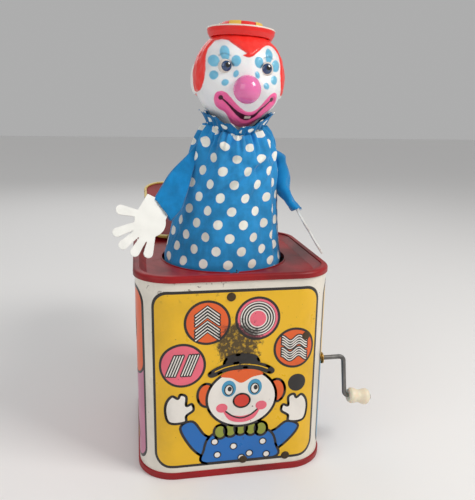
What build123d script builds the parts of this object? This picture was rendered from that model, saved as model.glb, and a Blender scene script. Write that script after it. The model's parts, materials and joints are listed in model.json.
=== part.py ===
from build123d import *
import math
import os

# Jack in the box: a square tin music box with a crank, a hinged lid and a clown that pops
# up on a coil spring. Millimetres, +Z up, front face towards -Y, crank on the +X side.
# The origin is the centre of the box's base, on the surface that it stands on.

# ---------------------------------------------------------------- driving dimensions

# tin box
BOX_SIDE = 140.0
BOX_HEIGHT = 155.0
CORNER_RADIUS = 27.0
SHEET = 0.8
PAN_LIP = 1.2            # the red pans stand this far outside the painted body
BOTTOM_PAN_HEIGHT = 5.0
TOP_PAN_HEIGHT = 4.5
RIM_WIDTH = 4.6          # rolled edge round the top
DISH_DEPTH = 4.8         # the tray floor lies this far under the rim
DISH_SLOPE_RUN = 5.2
RIM_DROP = 1.2           # the slope starts this far under the rim's crest
OPENING_RADIUS = 49.0
LIP_DEPTH = 3.0

# lid
LID_GAP = 1.5            # between the lid's edge and the foot of the dish's slope
LID_THICKNESS = 0.8
LID_HEM = 2.6            # width of the rolled yellow hem
LID_HEM_DEPTH = 2.0
LID_ABOVE_FLOOR = 3.3    # underside of the closed lid over the tray floor
HINGE_INSET = 2.0        # hinge axis inside the lid's back edge
LID_OPEN = 163.0         # degrees
HINGE_PIN_RADIUS = 0.9
KNUCKLE_RADIUS = 1.9
KNUCKLE_LENGTH = 7.0
HINGE_STATION = 30.0     # x of each hinge's middle
HINGE_LUG = 1.2
RUNNING = 0.06           # radial clearance of every shaft in its hole

# crank
CRANK_Y = -48.0
CRANK_Z = 78.5
ROD_RADIUS = 1.75
CRANK_ARM_X = 88.2
CRANK_ARM_LENGTH = 33.5
CRANK_ARM_FLARE = 3.0    # the arm leans outwards by this much over its length
ROD_BEND = 4.0
GRIP_DROOP = 9.0         # degrees that the grip hangs below the horizontal
KNOB_START = 3.2         # grip's inner end, from the arm's centreline
KNOB_LENGTH = 17.5
KNOB_RADIUS = 6.3
KNOB_WAIST = 5.0
BUSHING_RADIUS = 3.0
BUSHING_FLANGE = 4.4

# music works
GEAR_MODULE = 0.8
PINION_TEETH = 14
DRUM_TEETH = 28
DRUM_RADIUS = 9.0
DRUM_PIN_HEIGHT = 0.5
DRUM_NOTES = 22
COMB_TEETH = 10
COMB_REACH = 0.5         # between the comb's tips and the pins
AXLE_RADIUS = 1.5
FRAME_THICKNESS = 0.9
CHEEK_LEFT = 21.0
CHEEK_RIGHT = 47.5
CHEEK_DEPTH = 30.0       # from the front wall's line
CAM_X = 23.6
CAM_WIDTH = 1.8
DRUM_X = 26.6
DRUM_LENGTH = 14.6
GEAR_X = 42.5
GEAR_WIDTH = 3.5
CAM_REACH = 13.6
CAM_BASE = 8.0
CAM_LOBE = 5.0

# latch
LATCH_WIDTH = 5.0
LATCH_THICKNESS = 0.8
LATCH_GAP = 3.6          # between the frame plate and the lever
LATCH_PIVOT_Z = 118.0
LATCH_PIN_RADIUS = 1.0
HOOK_Y = -51.0           # back face of the hook's upright
HOOK_BARB = 3.0

# jack
LEAN = 2.1               # degrees, towards the crank
HEAD_Z = 287.0
HEAD_RADIUS = 33.6
HEAD_SHELL = 1.6
EYE_SPACING = 28.6
EYE_Z = 292.5
EYE_RADIUS = 5.5
NOSE_RADIUS = 9.7
NOSE_Z = 277.5
NOSE_Y = -35.5
MOUTH_Z = 264.5
EAR_BACK = 9.0           # the two halves of the head meet this far behind its middle
HAT_SEAT_Z = 314.5
BRIM_RADIUS = 25.0
BRIM_HEIGHT = 6.5
BRIM_DISH = 2.6
CROWN_RADIUS = 16.2
HAT_TOP_Z = 325.0
NECK_RADIUS = 12.0
NECK_Z = 243.0
CLAMP_Z = 235.0          # the spring ends under this, and the head rocks above it
COLLAR_RADIUS = 27.0
COSTUME_RISE = 2.0        # of the costume's top over the neck's foot
COLLAR_HEIGHT = 14.5
COSTUME_SKIRT_RADIUS = 46.0
COSTUME_LOW_RADIUS = 38.0
COSTUME_SKIN = 1.0
SPRING_RADIUS = 17.0
SPRING_WIRE = 1.1
SPRING_TURNS = 14
SEAT_RADIUS = 30.0
SEAT_THICKNESS = 1.4
SOFT_GAP = 0.3

# arms
SLEEVE_THICKNESS = 4.0
HAND_THICKNESS = 1.4
PALM_RADIUS = 12.0
WRIST_REACH = 17.0
WRIST_WIDTH = 17.0
FINGER_RADIUS = 4.0
FINGERS = [(26.4, -86.0), (30.0, -44.0), (31.5, -21.0), (31.4, -1.5), (29.6, 19.0)]

# ---------------------------------------------------------------- values worked out

HALF = BOX_SIDE / 2
PAN_HALF = HALF + PAN_LIP
FLOOR_Z = BOX_HEIGHT - DISH_DEPTH
SLOPE_TOP_Z = BOX_HEIGHT - RIM_DROP
RIM_INNER = PAN_HALF - RIM_WIDTH
DISH_HALF = RIM_INNER - DISH_SLOPE_RUN
BODY_BOTTOM = SHEET
BODY_TOP = BOX_HEIGHT - TOP_PAN_HEIGHT + 1.0
LID_HALF = DISH_HALF - LID_GAP
LID_RADIUS = CORNER_RADIUS - (HALF - LID_HALF) + 3.0
LID_BOTTOM_Z = FLOOR_Z + LID_ABOVE_FLOOR
LID_TOP_Z = LID_BOTTOM_Z + LID_THICKNESS
HINGE_Y = LID_HALF - HINGE_INSET
HINGE_Z = LID_BOTTOM_Z + LID_THICKNESS / 2
WALL_Y = -HALF + SHEET                     # inner face of the front wall
PLATE_Y = WALL_Y + FRAME_THICKNESS         # inner face of the mechanism frame
GEAR_CENTRES = GEAR_MODULE * (PINION_TEETH + DRUM_TEETH) / 2
DRUM_Y = CRANK_Y - 2.0
DRUM_Z = CRANK_Z - math.sqrt(GEAR_CENTRES**2 - (CRANK_Y - DRUM_Y) ** 2)
LATCH_Y = PLATE_Y + LATCH_GAP              # front face of the lever
LATCH_X = 0.5

# ---------------------------------------------------------------- helpers


def save(part, node):
    part.label = node
    export_step(part, f"parts/{node}.step")


def slab(half, radius, z0, z1):
    """An upright block with a rounded-square plan."""
    return Pos(0, 0, z0) * extrude(RectangleRounded(2 * half, 2 * half, radius), z1 - z0)


def frame_ring(half, radius, wall, z0, z1):
    return slab(half, radius, z0, z1) - slab(half - wall, radius - wall, z0, z1)


def tapered(half0, radius0, z0, half1, radius1, z1):
    """A block whose rounded-square plan grows from z0 to z1."""
    low = Pos(0, 0, z0) * RectangleRounded(2 * half0, 2 * half0, radius0)
    high = Pos(0, 0, z1) * RectangleRounded(2 * half1, 2 * half1, radius1)
    return loft([low, high], ruled=True)


def cylinder_z(radius, x, y, z0, z1):
    return Pos(x, y, (z0 + z1) / 2) * Cylinder(radius, z1 - z0)


def cylinder_x(radius, y, z, x0, x1):
    return Pos((x0 + x1) / 2, y, z) * Rot(0, 90, 0) * Cylinder(radius, x1 - x0)


def cylinder_y(radius, x, z, y0, y1):
    return Pos(x, (y0 + y1) / 2, z) * Rot(90, 0, 0) * Cylinder(radius, y1 - y0)


def block(x0, x1, y0, y1, z0, z1):
    return Pos((x0 + x1) / 2, (y0 + y1) / 2, (z0 + z1) / 2) * Box(x1 - x0, y1 - y0, z1 - z0)


def turned(profile):
    """A solid of revolution about Z from (radius, height) points."""
    return revolve(Plane.XZ * make_face(Polyline(*profile, close=True)), Axis.Z)


def along_x(part, x, y, z):
    """Stands a part that was made along +Z onto the +X direction."""
    return Pos(x, y, z) * Rot(0, 90, 0) * part


def gear(teeth, width, phase):
    """A spur gear along +Z: involute flanks, thinned a little so that a pair runs freely."""
    pitch = GEAR_MODULE * teeth / 2
    base = pitch * math.cos(math.radians(20))
    tip = pitch + 0.75 * GEAR_MODULE
    root = pitch - 1.1 * GEAR_MODULE
    backlash = 0.12

    def involute(radius):
        angle = math.acos(min(1.0, base / radius))
        return math.tan(angle) - angle

    half = math.pi / (2 * teeth) - backlash / (2 * pitch) + involute(pitch)
    start = max(base, root)
    steps = 4
    flank = []
    for i in range(steps + 1):
        radius = start + (tip - start) * i / steps
        flank.append((radius, half - involute(radius)))
    points = []
    for tooth in range(teeth):
        middle = phase + 2 * math.pi * tooth / teeth
        side = [(root, flank[0][1])] + flank
        arms = [(r, middle - a) for r, a in side] + [(r, middle + a) for r, a in reversed(side)]
        points += [(r * math.cos(a), r * math.sin(a)) for r, a in arms]
    return extrude(make_face(Polyline(*points, close=True)), width)


# ---------------------------------------------------------------- tin box


def rivet_places():
    """x and z of the rivets through the front wall."""
    return [(-5.0, 139.0), (50.0, 107.0), (5.4, 11.2), (37.7, 11.2)]


RIVET_HEAD = 3.2
RIVET_SHANK = 1.4


def on_front(part, x, z):
    """Stands a part that was made along +Z square on the front wall, round corners included."""
    past = max(0.0, abs(x) - (HALF - CORNER_RADIUS))
    turn = math.copysign(math.asin(past / CORNER_RADIUS), x)
    y = -HALF + CORNER_RADIUS * (1 - math.cos(turn))
    return Pos(x, y, z) * Rot(0, 0, math.degrees(turn)) * Rot(90, 0, 0) * part


def make_body_shell():
    shell = frame_ring(HALF, CORNER_RADIUS, SHEET, BODY_BOTTOM, BODY_TOP)
    shell -= cylinder_x(BUSHING_RADIUS, CRANK_Y, CRANK_Z, HALF - 8, HALF + 2)
    for x, z in rivet_places():
        shell -= make_rivet(x, z)
    return shell


def make_body_seam():
    """The folded lap where the body's sheet is joined, up the inside of the back wall."""
    return block(-4, 4, HALF - SHEET - 0.8, HALF - SHEET, BODY_BOTTOM, BODY_TOP - 3)


def make_bottom_pan():
    skirt = slab(PAN_HALF, CORNER_RADIUS + PAN_LIP, 0, BOTTOM_PAN_HEIGHT)
    skirt = fillet(skirt.edges().group_by(Axis.Z)[0], 0.5)
    skirt = fillet(skirt.edges().group_by(Axis.Z)[-1], 0.9)
    skirt -= slab(HALF, CORNER_RADIUS, BODY_BOTTOM, BOTTOM_PAN_HEIGHT + 1)
    return skirt


def make_top_pan():
    rim = slab(PAN_HALF, CORNER_RADIUS + PAN_LIP, BOX_HEIGHT - TOP_PAN_HEIGHT, BOX_HEIGHT)
    rim = fillet(rim.edges().group_by(Axis.Z)[-1], 2.2)
    under = BOX_HEIGHT - TOP_PAN_HEIGHT
    rim -= slab(RIM_INNER, RIM_INNER - HALF + CORNER_RADIUS, under - 1, BOX_HEIGHT + 1)
    inner_radius = RIM_INNER - HALF + CORNER_RADIUS
    dish_radius = inner_radius - DISH_SLOPE_RUN + 3
    skin = tapered(
        DISH_HALF + 0.6, dish_radius + 0.6, FLOOR_Z - SHEET,
        RIM_INNER, inner_radius, SLOPE_TOP_Z - SHEET,
    )
    skin += slab(RIM_INNER, inner_radius, SLOPE_TOP_Z - SHEET, SLOPE_TOP_Z)
    skin -= tapered(DISH_HALF, dish_radius, FLOOR_Z, RIM_INNER, inner_radius, SLOPE_TOP_Z)
    pan = rim + skin
    pan += cylinder_z(OPENING_RADIUS + 1.0, 0, 0, FLOOR_Z - LIP_DEPTH, FLOOR_Z + 0.5)
    pan -= cylinder_z(OPENING_RADIUS, 0, 0, FLOOR_Z - LIP_DEPTH - 1, BOX_HEIGHT + 1)
    slot = LATCH_WIDTH / 2 + 0.8
    pan -= block(LATCH_X - slot, LATCH_X + slot, -57.6, -OPENING_RADIUS + 2, 140, 152)
    pan -= frame_ring(HALF, CORNER_RADIUS, SHEET, BODY_BOTTOM, BODY_TOP)
    return pan


def make_rivet(x, z):
    """A domed head outside the wall, its shank and the tail staked over the frame plate."""
    plate = -SHEET - FRAME_THICKNESS
    rivet = turned([
        (0, plate - 0.8), (2.0, plate - 0.8), (2.2, plate), (RIVET_SHANK, plate), (RIVET_SHANK, 0.05),
        (RIVET_HEAD, 0.05), (RIVET_HEAD * 0.86, 0.8), (RIVET_HEAD * 0.5, 1.15), (0, 1.25),
    ])
    return on_front(rivet, x, z)


def make_crank_bushing():
    tube = cylinder_x(BUSHING_RADIUS, CRANK_Y, CRANK_Z, HALF - 3.5, HALF + 0.9)
    flange = cylinder_x(BUSHING_FLANGE, CRANK_Y, CRANK_Z, HALF + 0.02, HALF + 0.9)
    bore = cylinder_x(ROD_RADIUS + RUNNING, CRANK_Y, CRANK_Z, HALF - 5, HALF + 2)
    return tube + flange - bore


# ---------------------------------------------------------------- lid


def make_lid_pan():
    pan = slab(LID_HALF - 1, LID_RADIUS - 1, LID_BOTTOM_Z, LID_TOP_Z)
    for side in (-1, 1):
        x = side * HINGE_STATION
        reach = KNUCKLE_LENGTH / 2 + HINGE_LUG + 1.0
        pan -= block(x - reach, x + reach, HINGE_Y - 2.9, LID_HALF + 1, LID_BOTTOM_Z - 1, LID_TOP_Z + 1)
    return pan


def make_lid_hem():
    low = LID_TOP_Z - LID_HEM_DEPTH
    hem = slab(LID_HALF, LID_RADIUS, low, LID_TOP_Z)
    hem = fillet(hem.edges().group_by(Axis.Z)[0], 0.7)
    hem -= slab(LID_HALF - LID_HEM, LID_RADIUS - LID_HEM, low - 1, LID_TOP_Z + 1)
    hem -= slab(LID_HALF - 1, LID_RADIUS - 1, LID_BOTTOM_Z, LID_TOP_Z + 1)
    for side in (-1, 1):
        x = side * HINGE_STATION
        reach = KNUCKLE_LENGTH / 2 + HINGE_LUG + 1.0
        hem -= block(x - reach, x + reach, HINGE_Y - 2.9, LID_HALF + 1, low - 1, LID_TOP_Z + 1)
    return hem


def make_lid_leaf(side):
    """A knuckle that turns on the pin, with a tongue that is spot welded inside the lid."""
    x0 = side * HINGE_STATION - KNUCKLE_LENGTH / 2
    x1 = x0 + KNUCKLE_LENGTH
    knuckle = cylinder_x(KNUCKLE_RADIUS, HINGE_Y, HINGE_Z, x0, x1)
    tongue = block(x0, x1, HINGE_Y - 10, HINGE_Y, LID_BOTTOM_Z - 0.7, LID_BOTTOM_Z)
    bore = cylinder_x(HINGE_PIN_RADIUS + RUNNING, HINGE_Y, HINGE_Z, x0 - 1, x1 + 1)
    return knuckle + tongue - bore


def lug_spans(side):
    """The x spans of the two lugs that flank one knuckle."""
    middle = side * HINGE_STATION
    inner = KNUCKLE_LENGTH / 2 + 0.3
    return [
        (middle - inner - HINGE_LUG, middle - inner),
        (middle + inner, middle + inner + HINGE_LUG),
    ]


def make_hinge_lugs(side):
    lugs = Part()
    for x0, x1 in lug_spans(side):
        ear = cylinder_x(KNUCKLE_RADIUS, HINGE_Y, HINGE_Z, x0, x1)
        ear += block(x0, x1, HINGE_Y - KNUCKLE_RADIUS, HINGE_Y + KNUCKLE_RADIUS, FLOOR_Z, HINGE_Z)
        ear -= cylinder_x(HINGE_PIN_RADIUS, HINGE_Y, HINGE_Z, x0 - 1, x1 + 1)
        lugs += ear
    return lugs


def make_hinge_pin(side):
    middle = side * HINGE_STATION
    reach = KNUCKLE_LENGTH / 2 + HINGE_LUG + 0.7
    return cylinder_x(HINGE_PIN_RADIUS, HINGE_Y, HINGE_Z, middle - reach, middle + reach)


def catch_y():
    """Front face of the catch that hangs from the lid."""
    return HOOK_Y - 5.6


def make_lid_catch():
    y = catch_y()
    x0 = LATCH_X - LATCH_WIDTH / 2
    x1 = LATCH_X + LATCH_WIDTH / 2
    stem = block(x0, x1, y, y + 0.8, FLOOR_Z - 2.0, LID_BOTTOM_Z)
    foot = block(x0, x1, y, y + 4.0, FLOOR_Z - 2.0, FLOOR_Z - 1.2)
    pad = block(x0, x1, y, y + 3.0, LID_BOTTOM_Z - 0.6, LID_BOTTOM_Z)
    return stem + foot + pad


# ---------------------------------------------------------------- crank


def grip_direction():
    angle = math.radians(GRIP_DROOP)
    return Vector(math.cos(angle), 0, -math.sin(angle))


def arm_foot():
    return Vector(CRANK_ARM_X + CRANK_ARM_FLARE, CRANK_Y, CRANK_Z - CRANK_ARM_LENGTH)


def make_crank_rod():
    start = Vector(CHEEK_LEFT - 1.0, CRANK_Y, CRANK_Z)
    elbow = Vector(CRANK_ARM_X, CRANK_Y, CRANK_Z)
    end = arm_foot() + grip_direction() * (KNOB_START + KNOB_LENGTH - 0.6)
    path = FilletPolyline(start, elbow, arm_foot(), end, radius=ROD_BEND)
    section = Plane(origin=start, z_dir=(1, 0, 0)) * Circle(ROD_RADIUS)
    return sweep(section, path)


def on_grip(part):
    """Places a part that was made along +Z onto the grip's axis."""
    return Pos(*arm_foot()) * Rot(0, 90 + GRIP_DROOP, 0) * part


def make_crank_knob():
    end = KNOB_START + KNOB_LENGTH
    outline = Spline(
        (KNOB_RADIUS * 0.93, KNOB_START + 1.2),
        (KNOB_RADIUS * 0.97, KNOB_START + 3.2),
        (KNOB_WAIST, KNOB_START + 8.5),
        (KNOB_RADIUS, end - 4.5),
        (KNOB_RADIUS * 0.93, end - 1.6),
    )
    bore = ROD_RADIUS + RUNNING
    face = make_face(
        Curve() + [
            outline,
            Polyline(
                outline @ 1,
                (KNOB_RADIUS * 0.62, end),
                (bore, end),
                (bore, KNOB_START),
                (KNOB_RADIUS * 0.75, KNOB_START),
                outline @ 0,
            ),
        ]
    )
    return on_grip(revolve(Plane.XZ * face, Axis.Z))


def make_knob_cap():
    """The staked washer that keeps the knob on the rod."""
    end = KNOB_START + KNOB_LENGTH
    washer = turned([(0, end - 0.6), (ROD_RADIUS, end - 0.6), (ROD_RADIUS, end + 0.15),
                     (3.2, end + 0.15), (2.6, end + 1.0), (0, end + 1.3)])
    return on_grip(washer)


def make_crank_collar():
    collar = cylinder_x(3.4, CRANK_Y, CRANK_Z, HALF - 7.5, HALF - 4.0)
    return collar - cylinder_x(ROD_RADIUS, CRANK_Y, CRANK_Z, HALF - 9, HALF)


def mesh_angle():
    """Direction from the drum's centre to the crank's, in the plane that a gear is drawn in."""
    return math.atan2(CRANK_Y - DRUM_Y, -(CRANK_Z - DRUM_Z))


def make_crank_pinion():
    phase = mesh_angle() + math.pi + math.pi / PINION_TEETH
    pinion = gear(PINION_TEETH, GEAR_WIDTH, phase)
    pinion -= cylinder_z(ROD_RADIUS, 0, 0, -1, GEAR_WIDTH + 1)
    return along_x(pinion, GEAR_X, CRANK_Y, CRANK_Z)


# ---------------------------------------------------------------- music works


def make_mechanism_frame():
    """A plate that lies against the front wall and follows it round the corner."""
    outline = Polyline(
        (-10, BODY_BOTTOM + 2), (56, BODY_BOTTOM + 2), (56, 114), (20, 114), (3, 145), (-10, 145),
        close=True,
    )
    reach = Pos(0, -HALF + CORNER_RADIUS, 0) * extrude(Plane.XZ * make_face(outline), CORNER_RADIUS)
    lining = frame_ring(HALF - SHEET, CORNER_RADIUS - SHEET, FRAME_THICKNESS, 0, BOX_HEIGHT)
    plate = lining & reach
    for x, z in rivet_places():
        plate -= make_rivet(x, z)
    return plate


def make_cheek(x):
    """An upright bracket with the two shaft holes, standing on the plate."""
    lining = SHEET + FRAME_THICKNESS
    cheek = block(x, x + FRAME_THICKNESS, -HALF, -HALF + CHEEK_DEPTH, DRUM_Z - 15, CRANK_Z + 8)
    cheek &= slab(HALF - lining, CORNER_RADIUS - lining, 0, BOX_HEIGHT)
    window = LATCH_Y + LATCH_THICKNESS + 1.5
    cheek -= block(x - 1, x + 2, -HALF, window, DRUM_Z - 7, DRUM_Z + 6)
    cheek -= cylinder_x(ROD_RADIUS + RUNNING, CRANK_Y, CRANK_Z, x - 1, x + 2)
    cheek -= cylinder_x(AXLE_RADIUS + RUNNING, DRUM_Y, DRUM_Z, x - 1, x + 2)
    return cheek


def make_drum_axle():
    axle = cylinder_x(AXLE_RADIUS, DRUM_Y, DRUM_Z, CHEEK_LEFT - 1.2, CHEEK_RIGHT + 2.1)
    left = cylinder_x(2.4, DRUM_Y, DRUM_Z, CHEEK_LEFT - 1.2, CHEEK_LEFT - 0.2)
    right = cylinder_x(2.4, DRUM_Y, DRUM_Z, CHEEK_RIGHT + 1.1, CHEEK_RIGHT + 2.1)
    return axle + left + right


def comb_pitch():
    return (DRUM_LENGTH - 3.0) / (COMB_TEETH - 1)


def make_music_drum():
    """The tune drum, with a pin for each note."""
    drum = cylinder_x(DRUM_RADIUS, DRUM_Y, DRUM_Z, DRUM_X, DRUM_X + DRUM_LENGTH)
    for note in range(DRUM_NOTES):
        angle = 2 * math.pi * note / DRUM_NOTES + 0.1
        x = DRUM_X + 1.5 + (note * 3 % COMB_TEETH) * comb_pitch()
        y = DRUM_Y + DRUM_RADIUS * math.cos(angle)
        z = DRUM_Z + DRUM_RADIUS * math.sin(angle)
        pin = Rot(math.degrees(angle), 0, 0) * cylinder_y(0.35, 0, 0, -1, DRUM_PIN_HEIGHT)
        drum += Pos(x, y, z) * pin
    return drum - cylinder_x(AXLE_RADIUS, DRUM_Y, DRUM_Z, DRUM_X - 1, DRUM_X + DRUM_LENGTH + 1)


def make_drum_gear():
    drum_gear = gear(DRUM_TEETH, GEAR_WIDTH, mesh_angle())
    drum_gear -= cylinder_z(AXLE_RADIUS, 0, 0, -1, GEAR_WIDTH + 1)
    return along_x(drum_gear, GEAR_X, DRUM_Y, DRUM_Z)


def make_release_cam():
    """A round cam with one lobe, which pushes the lever's foot once in each turn."""
    lobe = CAM_LOBE / 2
    cam = Circle(CAM_BASE) + Pos((CAM_REACH - lobe) / 2, 0) * Rectangle(CAM_REACH - lobe, CAM_LOBE)
    cam += Pos(CAM_REACH - lobe, 0) * Circle(lobe)
    cam -= Circle(AXLE_RADIUS)
    return along_x(extrude(Rot(0, 0, 60) * cam, CAM_WIDTH), CAM_X, DRUM_Y, DRUM_Z)


def comb_span():
    return DRUM_X + 0.8, DRUM_X + DRUM_LENGTH - 0.8


def make_comb_base():
    x0, x1 = comb_span()
    return block(x0, x1, PLATE_Y, PLATE_Y + 4.0, DRUM_Z - 7, DRUM_Z - 0.5)


def make_music_comb():
    x0, x1 = comb_span()
    tip = DRUM_Y - DRUM_RADIUS - DRUM_PIN_HEIGHT - COMB_REACH
    low = DRUM_Z - 0.5
    comb = block(x0, x1, PLATE_Y, PLATE_Y + 4.0, low, low + 0.7)
    for tooth in range(COMB_TEETH):
        x = DRUM_X + 1.5 + tooth * comb_pitch()
        comb += block(x - 0.45, x + 0.45, PLATE_Y + 3.0, tip, low, low + 0.7)
    return comb


# ---------------------------------------------------------------- latch


def pivot_y():
    return LATCH_Y + LATCH_THICKNESS / 2


def make_latch_lever():
    """Foot by the cam, strip up the wall, then back and up to the hook in the tray's slot."""
    x0 = LATCH_X - LATCH_WIDTH / 2
    x1 = LATCH_X + LATCH_WIDTH / 2
    back = LATCH_Y + LATCH_THICKNESS
    knee = FLOOR_Z - 4.6
    barb = FLOOR_Z + 0.6
    under = knee - LATCH_THICKNESS
    lever = block(x0, x1, LATCH_Y, back, DRUM_Z - 5, knee)
    lever += block(x0, CAM_X + CAM_WIDTH + 0.5, LATCH_Y, back, DRUM_Z - 5, DRUM_Z + 4)
    lever += block(x0, x1, LATCH_Y, HOOK_Y, under, knee)
    lever += block(x0 + 1, x1 - 1, HOOK_Y - LATCH_THICKNESS, HOOK_Y, under, barb)
    lever += block(x0 + 1, x1 - 1, HOOK_Y - HOOK_BARB, HOOK_Y, barb - LATCH_THICKNESS, barb)
    lever += cylinder_x(LATCH_PIN_RADIUS + 0.9, pivot_y(), LATCH_PIVOT_Z, x0, x1)
    return lever - cylinder_x(LATCH_PIN_RADIUS + RUNNING, pivot_y(), LATCH_PIVOT_Z, x0 - 1, x1 + 1)


def make_latch_bracket():
    low = LATCH_PIVOT_Z - 6
    high = LATCH_PIVOT_Z + 3
    reach = LATCH_WIDTH / 2 + 1.1
    bracket = block(LATCH_X - reach, LATCH_X + reach, PLATE_Y, PLATE_Y + 0.8, low, high)
    for side in (-1, 1):
        x = LATCH_X + side * (reach - 0.4)
        bracket += block(x - 0.4, x + 0.4, PLATE_Y, pivot_y() + 2, LATCH_PIVOT_Z - 3, high)
        bracket -= cylinder_x(LATCH_PIN_RADIUS, pivot_y(), LATCH_PIVOT_Z, x - 0.6, x + 0.6)
    return bracket


def make_latch_pin():
    reach = LATCH_WIDTH / 2 + 1.6
    return cylinder_x(LATCH_PIN_RADIUS, pivot_y(), LATCH_PIVOT_Z, LATCH_X - reach, LATCH_X + reach)


def make_latch_spring():
    """A leaf that presses the foot towards the cam."""
    x0 = LATCH_X - 1.5
    x1 = LATCH_X + 1.5
    foot = block(x0, x1, PLATE_Y, PLATE_Y + 0.4, DRUM_Z + 10, DRUM_Z + 18)
    outline = Polyline(
        (PLATE_Y, DRUM_Z + 18), (PLATE_Y + 0.4, DRUM_Z + 18),
        (LATCH_Y - SOFT_GAP, DRUM_Z + 30), (LATCH_Y - SOFT_GAP - 0.4, DRUM_Z + 30), close=True,
    )
    leaf = Pos(x0, 0, 0) * extrude(Plane.YZ * make_face(outline), x1 - x0)
    return foot + leaf


# ---------------------------------------------------------------- jack


def leaned(part):
    """The jack is built upright and leans as one about the centre of the base."""
    return Rot(0, LEAN, 0) * part


def head_profile(inset):
    """Radius and height of the head, from the crown down to the neck."""
    shape = [(23.0, 27.5), (30.5, 19.0), (33.6, 8.0), (33.6, -2.0), (31.5, -12.0), (27.0, -22.0),
             (20.5, -30.0), (13.0, -35.0)]
    return [(r - inset, HEAD_Z + h - inset * h / HEAD_RADIUS) for r, h in shape]


def head_block(inset):
    points = head_profile(inset)
    side = Spline(*points)
    rest = Polyline(points[-1], (0, points[-1][1]), (0, points[0][1]), points[0])
    return revolve(Plane.XZ * make_face([side, rest]), Axis.Z)


def eye_place(side):
    return (side * EYE_SPACING / 2, -25.5, EYE_Z)


def nose_ball(grow):
    return Pos(0, NOSE_Y, NOSE_Z) * Sphere(NOSE_RADIUS + grow)


def make_head():
    """The blow-moulded shell, its ears, and the eye, nose and mouth openings."""
    head = head_block(0)
    ear = Pos(HEAD_RADIUS + 0.4, 2.0, HEAD_Z - 3) * Rot(0, 8, 0) * scale(Sphere(1), by=(3.2, 5.0, 9.5))
    head = head + ear + mirror(ear, about=Plane.YZ)
    head -= head_block(HEAD_SHELL)
    head -= cylinder_z(NECK_RADIUS + 0.1, 0, 0, NECK_Z, HEAD_Z - 20)
    for side in (-1, 1):
        head -= Pos(*eye_place(side)) * Sphere(EYE_RADIUS)
    head -= nose_ball(0)
    slot = Polyline((-17.5, 9), (-15.5, 10), (0, -1), (15.5, 10), (17.5, 9), (0, -4.5), close=True)
    head -= Pos(0, 0, MOUTH_Z) * extrude(Plane.XZ * make_face(slot), 60)
    return head


def make_head_front():
    return leaned(make_head() & block(-60, 60, -60, EAR_BACK, NECK_Z, HAT_TOP_Z))


def make_head_back():
    return leaned(make_head() & block(-60, 60, EAR_BACK, 60, NECK_Z, HAT_TOP_Z))


def make_eye(side):
    return leaned(Pos(*eye_place(side)) * Sphere(EYE_RADIUS))


def make_nose():
    return leaned(nose_ball(0))


def make_teeth():
    """A short strip behind the middle of the mouth."""
    strip = head_block(HEAD_SHELL + 0.1) - head_block(HEAD_SHELL + 1.6)
    return leaned(strip & block(-4.5, 4.5, -60, 0, MOUTH_Z - 4, MOUTH_Z + 1.5))


def make_hat_brim():
    """A shallow dish: it flares up from the crown of the head to a thick edge."""
    low = HAT_SEAT_Z
    top = HAT_SEAT_Z + BRIM_HEIGHT
    brim = turned([
        (0, low), (23.0, low), (24.6, low + 3), (BRIM_RADIUS, top - 1), (BRIM_RADIUS - 0.3, top),
        (BRIM_RADIUS - 2.2, top), (22.5, top - BRIM_DISH), (0, top - BRIM_DISH),
    ])
    return leaned(brim)


def make_hat_crown():
    low = HAT_SEAT_Z + BRIM_HEIGHT - BRIM_DISH
    crown = turned([
        (0, low), (CROWN_RADIUS, low), (CROWN_RADIUS - 0.4, HAT_TOP_Z - 1.6),
        (CROWN_RADIUS - 2.0, HAT_TOP_Z), (0, HAT_TOP_Z),
    ])
    return leaned(crown)


def make_neck_plug():
    """A hollow plug on the spring's top that carries the head."""
    top = HEAD_Z - 24
    plug = cylinder_z(NECK_RADIUS, 0, 0, NECK_Z, top)
    plug -= cylinder_z(NECK_RADIUS - 1.5, 0, 0, NECK_Z - 1, top - 2)
    return leaned(plug)


def make_neck_cap():
    """The disc under the plug, which rocks above the spring's clamp."""
    return leaned(cylinder_z(SPRING_RADIUS, 0, 0, NECK_Z - 1.5, NECK_Z))


def make_spring_clamp():
    """The clamp on the spring's last coil, with the post that the head rocks on."""
    clamp = cylinder_z(SPRING_RADIUS + SPRING_WIRE, 0, 0, CLAMP_Z, CLAMP_Z + 1.5)
    return leaned(clamp)


def make_collar():
    low = NECK_Z + COSTUME_RISE + 1.0
    high = low + COLLAR_HEIGHT
    collar = turned([
        (NECK_RADIUS + SOFT_GAP, low), (NECK_RADIUS + 2.2, low - 0.6), (COLLAR_RADIUS + 1.2, high),
        (COLLAR_RADIUS, high + 0.6),
    ])
    return leaned(collar)


def costume_sections():
    """Height, x of the centre, and radius of the costume from its hem to the neck."""
    hem = BODY_BOTTOM + 3.0
    skirt = COSTUME_SKIRT_RADIUS
    low = COSTUME_LOW_RADIUS
    return [
        (hem, 0.0, low), (FLOOR_Z - 22, 0.0, low), (FLOOR_Z - 2, -0.5, skirt), (FLOOR_Z + 2, -0.4, skirt),
        (200.0, 4.0, 38.5), (230.0, 8.0, 34.0), (239.0, 8.8, 31.0), (243.0, 9.0, 27.0), (NECK_Z + COSTUME_RISE, 9.1, 22.0),
    ]


def costume_block(grow):
    rings = [Pos(x, 0, z) * Circle(r + grow) for z, x, r in costume_sections()]
    return loft(rings, ruled=True)


def make_costume():
    return costume_block(0) - costume_block(-COSTUME_SKIN)


def make_hem_ring():
    """The wire hoop that holds the costume's hem round the spring seat."""
    return Pos(0, 0, BODY_BOTTOM + 1.3) * Torus(COSTUME_LOW_RADIUS - 0.5, 1.3)


def make_spring_seat():
    floor = BODY_BOTTOM
    return turned([
        (0, floor), (SEAT_RADIUS, floor), (SEAT_RADIUS, floor + 6.0), (SEAT_RADIUS - 1.2, floor + 6.0),
        (SEAT_RADIUS - 2.0, floor + SEAT_THICKNESS), (0, floor + SEAT_THICKNESS),
    ])


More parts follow.
